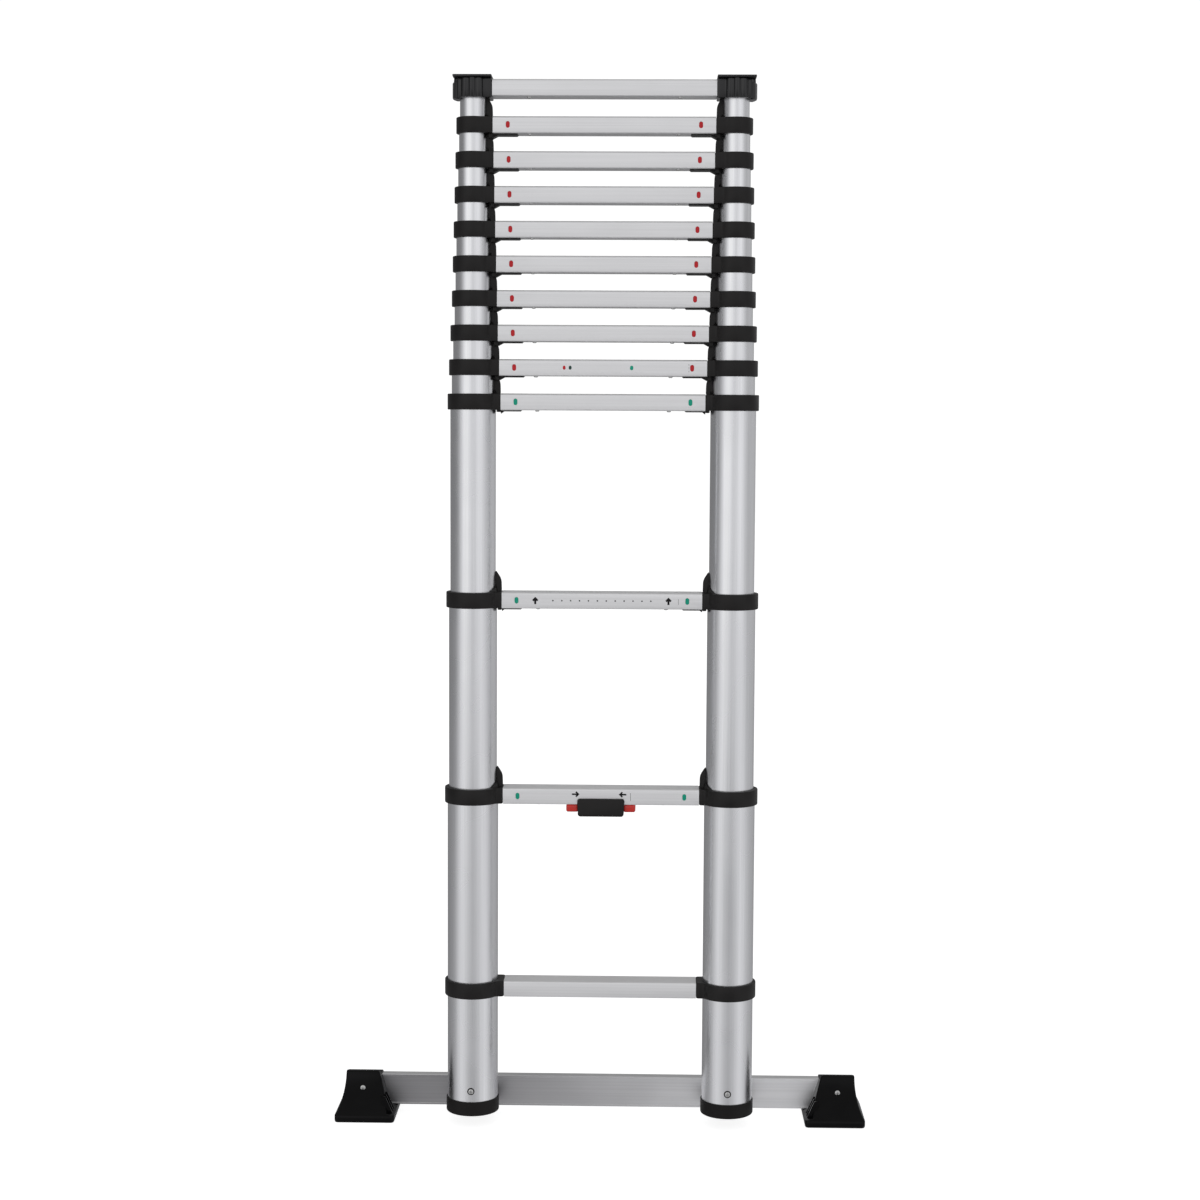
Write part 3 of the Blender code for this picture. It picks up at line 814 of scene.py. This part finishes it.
def make_rung_screws():
    """Two pan-head screws under each rung."""
    head = turned(pan_head(SCREW_RADIUS, SCREW_HEIGHT), math.pi, "X")
    head = moved(head, 0, SCREW_BACK, -RUNG_HEIGHT / 2)
    for number in RUNGS:
        screws = twice(head, RAIL_X - block_face(number) - SCREW_INSET)
        on_rung(number, f"rung_{number:02d}_screws", screws, steel)


def trigger_mesh(number):
    """The left trigger under a rung's end: a plate, two feet beside the fin below, and a gusset."""
    face = block_face(number)
    sizes = OPEN_TRIGGER if number <= LAST_OPEN_RUNG else CLOSED_TRIGGER
    length, drop, gusset_length, gusset_height = sizes
    top = -RUNG_HEIGHT / 2 - PLATE_GAP
    low = top - PLATE_THICK
    near = face - 0.0006
    plate = drawn([(near, low), (face + length - PLATE_THICK, low), (face + length, top), (near, top)],
                  -PLATE_HALF, PLATE_HALF)
    gusset = drawn([(face, low), (face, low - gusset_height), (face + gusset_length, low)], -GUSSET_HALF,
                   GUSSET_HALF)
    feet = []
    for start, end in ((-FOOT_OUTER, -FOOT_INNER), (FOOT_INNER, FOOT_OUTER)):
        feet.append(rounded_box((face - FOOT_FROM, start, -COLLAR_HALF - drop),
                                (face - PLATE_GAP, end, -COLLAR_HALF + 0.002), 0.0012))
    return joined(plate, gusset, *feet)


def make_triggers():
    """The triggers of the rungs that slide."""
    for number in range(BASE_RUNG + 1, TOP_RUNG):
        pair(f"trigger_{{}}_{number:02d}", trigger_mesh(number), RUNG_Z[number], plastic, body_of(number),
             "black_plastic")


# Printed marks

INK_FRONT = 0.00012  # thickness of the print on the rung's front
UNLOCK_ARROW = (0.0114, 0.0046, 0.0024)  # length, barb and stroke
UNLOCK_ARROW_X = (-0.0384, 0.0332)
UNLOCK_ARROW_Z = 0.0035
UNLOCK_LINE_X = 0.0453
EXTEND_ARROW = (0.0112, 0.0048, 0.003)
EXTEND_ARROW_X = 0.101
EXTEND_LINE_X = 0.116
DOTS = 12  # a row of dots stands for the words between the arrows
DOT_PITCH = 0.0135
SIGN_X = (-0.0585, -0.0495, 0.043)
TICK_X = 0.129
TICK_PITCH = 0.005


def printed(outline, x, z=0.0):
    """A printed mark, an (x, z) outline on a rung's front."""
    front = -RUNG_DEPTH / 2
    return moved(drawn(outline, front - INK_FRONT, front + 0.0001), x, 0, z)


def arrow(length, barb, stroke):
    """An arrow that points along +X, its middle at the origin."""
    half = stroke / 2
    notch = length - math.sqrt(2) * stroke - half
    back = stroke / math.sqrt(2)
    upper = [(0, half), (notch, half), (length - barb - back, barb - back), (length - barb, barb)]
    whole = upper + [(length, 0)] + [(x, -z) for x, z in reversed(upper)]
    return [(x - length / 2, z) for x, z in whole]


def bar_mark(width, height):
    """A small printed rectangle."""
    x, z = width / 2, height / 2
    return [(-x, -z), (x, -z), (x, z), (-x, z)]


def make_marks():
    """Arrows and signs without words on the second, third and fifth rung."""
    right = arrow(*UNLOCK_ARROW)
    left = [(-x, z) for x, z in reversed(right)]
    marks = [printed(outline, x, UNLOCK_ARROW_Z) for outline, x in zip((right, left), UNLOCK_ARROW_X)]
    marks.append(printed(bar_mark(0.0005, 0.012), UNLOCK_LINE_X))
    on_rung(2, "unlock_arrows", joined(*marks), ink)
    up = [(-z, x) for x, z in arrow(*EXTEND_ARROW)]
    marks = [printed(up, x) for x in (-EXTEND_ARROW_X, EXTEND_ARROW_X)]
    marks += [printed(stadium(0.0022, 0.0023), (i - (DOTS - 1) / 2) * DOT_PITCH) for i in range(DOTS)]
    marks.append(printed(bar_mark(0.0004, 0.0085), EXTEND_LINE_X, -0.001))
    on_rung(3, "extend_arrows", joined(*marks), ink)
    small = stadium(0.0042, 0.006)
    big = stadium(0.005, 0.0068)
    signs = (("unlocked_sign", small, red_flag), ("unlocked_sign_pair", small, dark_green_ink),
             ("locked_sign", big, green_flag))
    for (name, outline, surface), x in zip(signs, SIGN_X):
        on_rung(5, name, printed(outline, x), surface)
    ticks = [printed(bar_mark(0.0004, 0.0026), TICK_X, step * TICK_PITCH) for step in (-1, 0, 1)]
    on_rung(5, "locked_ticks", joined(*ticks), ink)


# Release

HOUSING_LOW, HOUSING_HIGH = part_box("release_housing")
HOUSING_TAPER = 0.0009  # how much the housing's foot draws in at each end
HOUSING_CORNER = 0.004
HOUSING_EDGE = 0.0009
CUT_REACH = 0.05  # half length of the cutters, past both ends of the housing
BUTTON_LOW, BUTTON_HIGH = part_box("release_button_right")
BUTTON_START = 0.0345
BUTTON_CORNER = 0.003
BOLT_EDGE = 0.0004


def release_housing():
    """The housing under the second rung: a rounded shell that hugs the rung, open at both ends."""
    low, high = HOUSING_LOW, HOUSING_HIGH
    taper, radius, edge = HOUSING_TAPER, HOUSING_CORNER, HOUSING_EDGE
    left, right, foot, top = low.x + radius, high.x - radius, low.z + radius, high.z - radius
    corners = ((right - taper, foot), (right, top), (left, top), (left + taper, foot))
    outline = rounded_outline([(x, z, radius) for x, z in corners], -0.5, 6)
    bend = 0.3 * edge
    middle_z = (low.z + high.z) / 2
    rows = []
    for y, inset in ((low.y, edge), (low.y + bend, bend), (low.y + edge, 0.0),
                     (high.y - edge, 0.0), (high.y - bend, bend), (high.y, edge)):
        wide = 1 - inset / high.x
        tall = 1 - inset / (high.z - middle_z)
        rows.append([(x * wide, y, middle_z + (z - middle_z) * tall) for x, z in outline])
    rung = RUNG_Z[BASE_RUNG]
    clear = RUNG_DEPTH / 2 + FIT_GAP
    above = rounded_box((-CUT_REACH, RAIL_Y - clear, rung - RUNG_HEIGHT / 2 - FIT_GAP),
                        (CUT_REACH, RAIL_Y + clear, rung + 0.02), 0.0008, 2)
    room = (BUTTON_HIGH.y - BUTTON_LOW.y) / 2 + 2 * FIT_GAP
    hollow = rounded_box((-CUT_REACH, RAIL_Y - room, BUTTON_LOW.z - 2 * FIT_GAP),
                         (CUT_REACH, RAIL_Y + room, rung - 0.004), 0.0028, 4)
    return combined(grid(rows), above, hollow)


def make_release():
    """Housing, the two buttons and the lock bolts of rungs 2 and 3."""
    piece("release_housing_shell", release_housing(), plastic, "base", ["release_housing"])
    button = rounded_box((BUTTON_START, BUTTON_LOW.y, BUTTON_LOW.z), BUTTON_HIGH, BUTTON_CORNER, 6)
    for side, mesh in both_sides(button):
        node = f"release_button_{side}"
        piece(node + "_moulding", mesh, red_plastic, f"release_{side}", [node])
    for side in SIDES:
        for number in BOLTED_RUNGS:
            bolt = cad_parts[f"lock_bolt_{side}_{number:02d}"]
            bolt.data.materials.clear()
            bolt.data.materials.append(steel)
            bevel = bolt.modifiers.new("edges", "BEVEL")
            bevel.width = BOLT_EDGE
            bevel.segments = 2
            bevel.limit_method = "ANGLE"


# Top caps

GROOVES = 14
GROOVE_DEPTH = 0.0024
CAP_BARREL_LOW = -0.015  # heights here are above the top rung's middle
CAP_BORE_TOP = 0.0113
CAP_POCKET_END = 0.36  # angle where the space for the fin below ends
CAP_EDGE = 0.001
AXIS_HOLE = 0.002  # the surface starts and ends this far from the axis
LOBE_HALF = math.radians(38)  # a lobe on the side away from the rung hangs lower
LOBE_EDGE = 0.0026
LOBE_RADIUS = 0.031
LOBE_TOP = 0.0085
CAP_TOP = CAP_HIGH.z - RUNG_Z[TOP_RUNG]
LID_HEIGHT = 0.0055
DISC_RADIUS = 0.0165
DISC_RISE = 0.0021  # the lid's disc is a low dome, and its middle is the top of the cap
DISC_EDGE = 0.0004


def barrel_radius(angle):
    """Distance from the axis to the grooved barrel of a top cap, or to its socket for the rung."""
    groove = GROOVE_DEPTH * (0.5 + 0.5 * math.cos(GROOVES * angle)) ** 2
    barrel = CAP_RADIUS - groove
    if math.cos(angle) > 0.3:
        barrel = max(barrel, rounded_corner(angle, CAP_RADIUS - 0.0001, BLOCK_HALF, FIN_POWER))
    return barrel


def cap_column(angle):
    """Cross-section of the left top cap's barrel at an angle, from the bore's ceiling round to the top."""
    lid = CAP_TOP - LID_HEIGHT
    own = RADIUS[TOP_RUNG] + FIT_GAP
    turn = abs(angle)
    barrel = barrel_radius(angle)
    lobe = smooth_step((LOBE_HALF - (math.pi - turn)) / 0.09)
    low = CAP_BARREL_LOW + (CAP_LOW.z - RUNG_Z[TOP_RUNG] - CAP_BARREL_LOW) * lobe
    extra = (LOBE_RADIUS - barrel) * lobe
    wide = barrel + extra
    pocket = own + EDGE_ROUND + POCKET_EXTRA * 0.8 * smooth_step((CAP_POCKET_END - turn) / 0.05)
    edge = CAP_EDGE + (LOBE_EDGE - CAP_EDGE) * lobe
    bend = 0.3 * edge
    return [(AXIS_HOLE, CAP_BORE_TOP), (own, CAP_BORE_TOP), (own, POCKET_TOP), (pocket, POCKET_TOP - THIN),
            (pocket, low), (wide - edge, low), (wide - bend, low + bend), (wide, low + edge),
            (wide, LOBE_TOP - 0.0015), (wide - 0.3 * extra, LOBE_TOP - 0.0005), (barrel, LOBE_TOP),
            (barrel, lid - 0.0022), (barrel - 0.0004, lid - 0.001), (barrel - 0.0012, lid - 0.0003),
            (barrel - 0.0018, lid + 0.001), (AXIS_HOLE, lid + 0.001)]


def cap_mesh():
    """The left top cap about its tube's axis: the grooved barrel under a square lid."""
    count = GROOVES * 12
    columns = []
    for i in range(count):
        angle = 2 * math.pi * i / count - math.pi
        columns.append([polar(radius, angle, z) for radius, z in cap_column(angle)])
    half = (CAP_HIGH.y - CAP_LOW.y) / 2
    lid = rounded_box((-half, -half, CAP_TOP - LID_HEIGHT), (half, half, CAP_TOP - DISC_RISE), 0.0007, 2)
    return combined(grid(list(zip(*columns))), lid, operation="UNION")


def disc_mesh():
    """The low dome on a lid."""
    low = CAP_TOP - DISC_RISE
    profile = [(DISC_RADIUS, low - DISC_EDGE), (DISC_RADIUS, low + DISC_EDGE)]
    for share in (0.92, 0.75, 0.5, 0.2):
        profile.append((DISC_RADIUS * share, CAP_TOP - (DISC_RISE - DISC_EDGE) * share ** 2))
    return revolved(profile)


def make_caps():
    """The fluted top caps and the disc on each lid."""
    height = RUNG_Z[TOP_RUNG]
    body = body_of(TOP_RUNG)
    pair("top_cap_{}_moulding", cap_mesh(), height, cap_plastic, body, "black_plastic", "top_cap_{}")
    pair("top_cap_{}_disc", disc_mesh(), height, disc_plastic, body, "black_plastic")


# Feet

PLUG_HEIGHT = 0.022
PLUG_FLOOR = 0.004
PLUG_EDGE = 0.0022
SPIGOT_TOP = 0.034
SPIGOT_WALL = 0.003
TUBE_SCREW_HEIGHT = 0.039  # above the plug's bottom
BAR_WALL = 0.0026
BAR_LIP = 0.0026  # height of the raised lips along the bar's edges
BAR_RECESS = 0.0004
BAR_CORNER = 0.0006
BAR_GROOVE = 0.0014  # depth of the line under the front's upper lip
BAR_GROOVE_DROP = 0.0012  # how far the line is below the bar's top
SADDLE_LOW, SADDLE_HIGH = 0.0425, 0.058
SADDLE_HALF = 0.016


def plug_mesh():
    """A left end plug: a cup round the tube's end with a spigot inside it, its bottom at Z = 0."""
    height, floor, edge, wall = PLUG_HEIGHT, PLUG_FLOOR, PLUG_EDGE, SPIGOT_WALL
    outer = PLUG_RADIUS
    tube = RADIUS[BASE_RUNG] + FIT_GAP
    spigot = RADIUS[BASE_RUNG + 1] + TUBE_STEP_GAP - 2 * FIT_GAP
    profile = [(outer - edge - 0.004, 0.0006), (outer - edge - 0.002, 0.0)]
    profile += arc(outer - edge, edge, edge, -0.5, 0.5, 5)
    profile += [(outer, height - 0.0006), (outer - 0.0005, height), (tube, height), (tube, floor),
                (spigot, floor), (spigot, SPIGOT_TOP - 0.0006), (spigot - 0.0006, SPIGOT_TOP),
                (spigot - wall, SPIGOT_TOP), (spigot - wall, floor)]
    return revolved(profile, TUBE_SIDES)


def make_plugs():
    """The end plugs and the screw that holds each one."""
    washer = revolved([(0.0056, -0.001), (0.0056, 0.0004), (0.0053, 0.0006), (0.004, 0.0006)], 48)
    fittings = (("screw", pan_head(0.0042, 0.002), steel, "bolt_steel"),
                ("washer", washer, rubber, "black_rubber"))
    pair("end_plug_{}_moulding", plug_mesh(), PLUG_LOW.z, rubber, "base", "black_rubber", "end_plug_{}")
    for name, mesh, surface, slot in fittings:
        mesh = moved(turned(mesh, math.pi / 2, "X"), 0, -RADIUS[BASE_RUNG], TUBE_SCREW_HEIGHT)
        pair("end_plug_{}_" + name, mesh, PLUG_LOW.z, surface, "base", slot)


def bar_section():
    """The bar's outline as (y, z) pairs, with a lip along both edges of each side."""
    front, back, bottom, top = BAR_LOW.y, BAR_HIGH.y, BAR_LOW.z, BAR_HIGH.z
    r, lip, dent = BAR_CORNER, BAR_LIP, BAR_RECESS
    line = top - BAR_GROOVE_DROP
    return [(front + r, bottom), (back - r, bottom), (back, bottom + r), (back, bottom + lip),
            (back - dent, bottom + lip + dent), (back - dent, top - lip - dent), (back, top - lip),
            (back, top - r), (back - r, top), (front + r, top), (front, top - r), (front, line),
            (front + BAR_GROOVE, line - 0.0003), (front + BAR_GROOVE, top - lip - 0.0003),
            (front + dent, top - lip - dent), (front + dent, bottom + lip + dent), (front, bottom + lip),
            (front, bottom + r)]


def bar_mesh():
    """The hollow stabiliser bar, open at both ends."""
    block = drawn(bar_section(), BAR_LOW.x, BAR_HIGH.x, 0)
    past = Vector((0.01, -BAR_WALL, -BAR_WALL))
    return combined(block, rounded_box(BAR_LOW - past, BAR_HIGH + past, 0.0004, 1))


def saddle_mesh():
    """The spacer between a base tube and the bar, hollowed to the tube."""
    tube = RADIUS[BASE_RUNG] + FIT_GAP
    back = BAR_LOW.y - RAIL_Y - 0.0002
    share = math.asin(SADDLE_HALF / tube) / math.pi
    outline = [(-SADDLE_HALF, back), (SADDLE_HALF, back)] + arc(0, 0, tube, 0.5 - share, 2 * share, 16)
    return drawn(outline, SADDLE_LOW, SADDLE_HIGH, 2)


def hex_bolt():
    """A hexagon head with a washer, pointing up."""
    washer = revolved([(0.0085, 0.0), (0.0085, 0.0012), (0.008, 0.0016), (0.004, 0.0016)], 40)
    head = revolved([(0.0064, 0.0014), (0.0064, 0.005), (0.0058, 0.0056)], 6)
    return joined(washer, head)


def make_bar():
    """The bar with the saddles and bolts that hold it to the base tubes."""
    piece("stabiliser_bar_extrusion", bar_mesh(), bar_metal, "base", ["stabiliser_bar"],
          angle=25)
    pair("bar_saddle_{}", saddle_mesh(), 0, plastic, "base", "black_plastic")
    bolt = moved(turned(hex_bolt(), -math.pi / 2, "X"), 0, BAR_HIGH.y - BAR_RECESS - RAIL_Y)
    pair("bar_bolt_{}", bolt, middle("stabiliser_bar").z, steel, "base", "bolt_steel")


# Shoes

SOLE_HEIGHT = 0.012
SOLE_REACH = 0.002  # how far the sole stands out past the block's outer end
SOLE_STEP = 0.004  # and past its front and back
SHOE_FOOT = 0.014
SHOE_FOOT_INNER = 0.33  # the block's inner end just above the sole, and at its top
SHOE_TOP_INNER = 0.346
SHOE_TOP_OUTER = 0.3975
SHOE_SLOPE_BACK = 0.039  # how much the front and the back draw in from foot to top
SOLE_CORNERS = (0.006, 0.036)  # rounding of the sole's front corners, and of its rear ones
BLOCK_CORNERS = (0.004, 0.016)
BLOCK_LEVELS = 12
PLATE_BACK = 0.032  # only the front plate, up to here from the tubes' axes, has the full height
SHELF_HEIGHT = 0.0627
SHELF_END_HEIGHT = 0.042  # the shelf slopes down to here behind the bar
SHOE_SCREW_HEIGHT = 0.0465
RIB_THICK = 0.003
RIB_TOP = 0.038
RIB_PLACES = (-0.052, -0.039, -0.027, 0.016, 0.028, 0.04)  # from the shoe's middle
SOCKET_START, SOCKET_END = 0.3, 0.43  # the cutters' ends, clear of the shoe


def shoe_size(height):
    """(inner X, outer X, half depth) of the right shoe at a height."""
    if height <= SOLE_HEIGHT:
        return SHOE_LOW.x, SHOE_HIGH.x, SHOE_HALF
    share = max(height - SHOE_FOOT, 0.0) / (SHOE_HIGH.z - SHOE_FOOT)
    step = min((height - SOLE_HEIGHT) / (SHOE_FOOT - SOLE_HEIGHT), 1.0)
    foot_inner = SHOE_LOW.x + (SHOE_FOOT_INNER - SHOE_LOW.x) * step
    inner = foot_inner + (SHOE_TOP_INNER - foot_inner) * share ** 1.25
    flare = (SHOE_HIGH.x - SOLE_REACH - SHOE_TOP_OUTER) * (1 - share) ** 2.57
    outer = SHOE_TOP_OUTER + flare + SOLE_REACH * (1 - step)
    depth = SHOE_HALF - SOLE_STEP * step - SHOE_SLOPE_BACK * (1 - (1 - share) ** 1.4)
    return inner, outer, depth


def shoe_outline(height, inset, corners):
    """The shoe's outline at a height, with the rounding of its front and its rear corners."""
    inner, outer, depth = shoe_size(height)
    front, rear = (max(corner - inset, 0.0012) for corner in corners)
    low = Vector((inner + inset, SHOE_MIDDLE - depth + inset))
    high = Vector((outer - inset, SHOE_MIDDLE + depth - inset))
    outline = ((high.x - rear, high.y - rear, rear), (low.x + rear, high.y - rear, rear),
               (low.x + front, low.y + front, front), (high.x - front, low.y + front, front))
    return [(x, y, height) for x, y in rounded_outline(outline, 0, 7)]


def shoe_rib(place):
    """An upright triangular rib on the sole, against the block's inner end."""
    block = SHOE_FOOT_INNER + 0.006
    foot = SOLE_HEIGHT - 0.001
    y = SHOE_MIDDLE + place
    outline = [(SHOE_LOW.x + 0.003, foot), (block, foot), (block + 0.004, RIB_TOP), (block - 0.003, RIB_TOP)]
    return drawn(outline, y, y + RIB_THICK)


def shoe_shelf_cut():
    """The cutter above the shelf behind the shoe's front plate."""
    start = RAIL_Y + PLATE_BACK
    end = SHOE_HIGH.y + 0.01
    top = SHOE_HIGH.z + 0.01
    outline = [(start, SHELF_HEIGHT), (BAR_HIGH.y + 0.001, SHELF_HEIGHT), (end, SHELF_END_HEIGHT), (end, top),
               (start, top)]
    return drawn(outline, SOCKET_START, SOCKET_END, 0)


def shoe_mesh():
    """The right shoe: a flared block on a sole band, with a socket for the bar and ribs on its inner side."""
    top = SHOE_HIGH.z
    rise = (top - 0.0022 - SHOE_FOOT) / (BLOCK_LEVELS - 1)
    sole = ((0.0, 0.003), (0.0007, 0.0012), (0.0024, 0.0002), (0.0045, 0.0), (SOLE_HEIGHT - 0.0012, 0.0),
            (SOLE_HEIGHT - 0.0003, 0.0004))
    flare = [(SHOE_FOOT + rise * i, 0.0) for i in range(BLOCK_LEVELS)]
    flare += [(top - 0.0008, 0.0005), (top, 0.0016)]
    rows = [shoe_outline(height, inset, SOLE_CORNERS) for height, inset in sole]
    rows += [shoe_outline(height, inset, BLOCK_CORNERS) for height, inset in flare]
    block = joined(grid(rows), *[shoe_rib(place) for place in RIB_PLACES])
    socket = rounded_box((SOCKET_START, BAR_LOW.y - FIT_GAP, BAR_LOW.z - FIT_GAP),
                         (BAR_HIGH.x + FIT_GAP, BAR_HIGH.y + FIT_GAP, BAR_HIGH.z + FIT_GAP), 0.0004, 1)
    return combined(block, socket, shoe_shelf_cut())


def make_shoes():
    """The two shoes, each with a screw in its front."""
    inner, outer, depth = shoe_size(SHOE_SCREW_HEIGHT)
    screw = turned(pan_head(0.0043, 0.0022), math.pi / 2, "X")
    screw = moved(screw, (inner + outer) / 2 + 0.0015, SHOE_MIDDLE - depth + 0.0006, SHOE_SCREW_HEIGHT)
    for side, mesh in both_sides(shoe_mesh()):
        node = f"stabiliser_shoe_{side}"
        piece(node + "_moulding", mesh, gloss_rubber, "base", [node])
    for side, mesh in both_sides(screw):
        piece(f"shoe_screw_{side}", mesh, steel, "base")


# Studio

LENS = 66.6
CAMERA_PLACE = (0.0653, -3.4078, 1.0907)
YAW, PITCH, ROLL = -0.0203, 0.0816, 0.0052
# The studio's brightness by direction: degrees from the camera's side, to the right, then the light's
# strength as the upper sections see it and as the lower ones do
STUDIO = ((-180, 0.2, 0.2), (-132, 0.22, 0.24), (-88, 0.2, 0.34), (-72, 0.34, 0.54), (-54, 0.78, 0.78),
          (-40, 1.08, 0.7), (-24, 1.14, 0.52), (-4, 0.72, 0.37), (10, 0.72, 0.35), (32, 0.96, 0.52),
          (52, 0.8, 0.74), (66, 0.58, 0.78), (84, 0.42, 0.56), (112, 0.54, 0.42), (146, 0.46, 0.36),
          (180, 0.2, 0.2))
COOLNESS = 1.02  # the light's blue, as a share of its red
SIDE_LEVELS = (-0.2, -0.06)  # heights of direction between which the lower pattern turns into the upper
CEILING_LEVELS = (0.45, 0.8)  # and the upper pattern into the ceiling
CEILING = 0.5
BACKDROP = 1.05
FLOOR_HALF = 20.0
FLOOR_GREY = 0.55
FLOOR_GLOW = 0.86


def make_camera():
    """The camera at the reference's viewing angle."""
    data = bpy.data.cameras.new("camera")
    data.sensor_width = 36
    data.lens = LENS
    camera = placed("camera", data)
    level = Vector((math.sin(YAW), math.cos(YAW), 0))
    forward = level * math.cos(PITCH) - Vector((0, 0, math.sin(PITCH)))
    right = Vector((math.cos(YAW), -math.sin(YAW), 0))
    up = right.cross(forward)
    rolled_right = right * math.cos(ROLL) + up * math.sin(ROLL)
    rolled_up = up * math.cos(ROLL) - right * math.sin(ROLL)
    turn = Matrix((rolled_right, rolled_up, -forward)).transposed()
    camera.matrix_world = Matrix.Translation(CAMERA_PLACE) @ turn.to_4x4()
    bpy.context.scene.camera = camera


def empty_tree(owner):
    """The node tree of a material or a world, cleared."""
    owner.use_nodes = True
    owner.node_tree.nodes.clear()
    return owner.node_tree


def studio_ramp(tree, share, column):
    """The studio's brightness round the horizon, from one column of its table."""
    ramp = add(tree, "ValToRGB", {"Fac": share})
    ramp.color_ramp.interpolation = "B_SPLINE"
    elements = ramp.color_ramp.elements
    while len(elements) < len(STUDIO):
        elements.new(0.5)
    for element, row in zip(elements, STUDIO):
        element.position = (row[0] + 180) / 360
        element.color = (row[column], row[column], row[column] * COOLNESS, 1)
    return ramp


def blended(tree, height, levels, low, high):
    """Two colours that blend as the direction's height goes from one level to the other."""
    limits = {"From Min": levels[0], "From Max": levels[1]}
    share = add(tree, "MapRange", {"Value": height, **limits}, interpolation_type="SMOOTHSTEP")
    return mixed(tree, share, low, high)


def make_world():
    """A white studio: soft boxes left and right of the camera, a soft ceiling, and white to the camera."""
    world = bpy.data.worlds.new("studio")
    bpy.context.scene.world = world
    tree = empty_tree(world)
    direction = add(tree, "TexCoord").outputs["Generated"]
    parts = add(tree, "SeparateXYZ", {0: direction}).outputs
    toward = add(tree, "Math", {0: parts["Y"], 1: -1.0}, operation="MULTIPLY")
    azimuth = add(tree, "Math", {0: parts["X"], 1: toward}, operation="ARCTAN2")
    share = add(tree, "MapRange", {"Value": azimuth, "From Min": -math.pi, "From Max": math.pi})
    upper = studio_ramp(tree, share, 1)
    lower = studio_ramp(tree, share, 2)
    sides = blended(tree, parts["Z"], SIDE_LEVELS, lower, upper)
    whole = blended(tree, parts["Z"], CEILING_LEVELS, sides, (CEILING, CEILING, CEILING, 1))
    studio = add(tree, "Background", {"Color": whole})
    white = add(tree, "Background", {"Color": (1, 1, 1, 1), "Strength": BACKDROP})
    rays = add(tree, "LightPath").outputs
    choose = add(tree, "MixShader", {0: rays["Is Camera Ray"], 1: studio, 2: white})
    add(tree, "OutputWorld", {"Surface": choose})


def floor_material():
    """Pale and matt with a soft glow to the camera, and clear to mirror images and to light."""
    material = bpy.data.materials.new("floor")
    tree = empty_tree(material)
    rays = add(tree, "LightPath").outputs
    matt = add(tree, "BsdfDiffuse", {"Color": (FLOOR_GREY, FLOOR_GREY, FLOOR_GREY, 1)})
    strength = add(tree, "Math", {0: rays["Is Camera Ray"], 1: FLOOR_GLOW}, operation="MULTIPLY")
    glow = add(tree, "Emission", {"Color": (1, 1, 1, 1), "Strength": strength})
    painted_top_highlight = add(tree, "AddShader", {0: matt, 1: glow})
    through = add(tree, "Math", {0: rays["Is Glossy Ray"], 1: rays["Is Shadow Ray"]}, operation="MAXIMUM")
    choose = add(tree, "MixShader", {0: through, 1: painted_top_highlight, 2: add(tree, "BsdfTransparent")})
    add(tree, "OutputMaterial", {"Surface": choose})
    return material


def make_floor():
    """A plain pale floor."""
    mesh = bpy.data.meshes.new("floor")
    corners = [(x * FLOOR_HALF, y * FLOOR_HALF, 0) for x, y in ((-1, -1), (1, -1), (1, 1), (-1, 1))]
    mesh.from_pydata(corners, [], [(0, 1, 2, 3)])
    mesh.materials.append(floor_material())
    floor = placed("floor", mesh)


def make_ladder():
    """Every piece of the ladder."""
    make_tubes()
    make_collars()
    make_rungs()
    make_rung_screws()
    make_triggers()
    make_marks()
    make_release()
    make_caps()
    make_plugs()
    make_bar()
    make_shoes()


make_ladder()
make_camera()
make_world()
make_floor()
bpy.context.scene.view_settings.view_transform = "Standard"
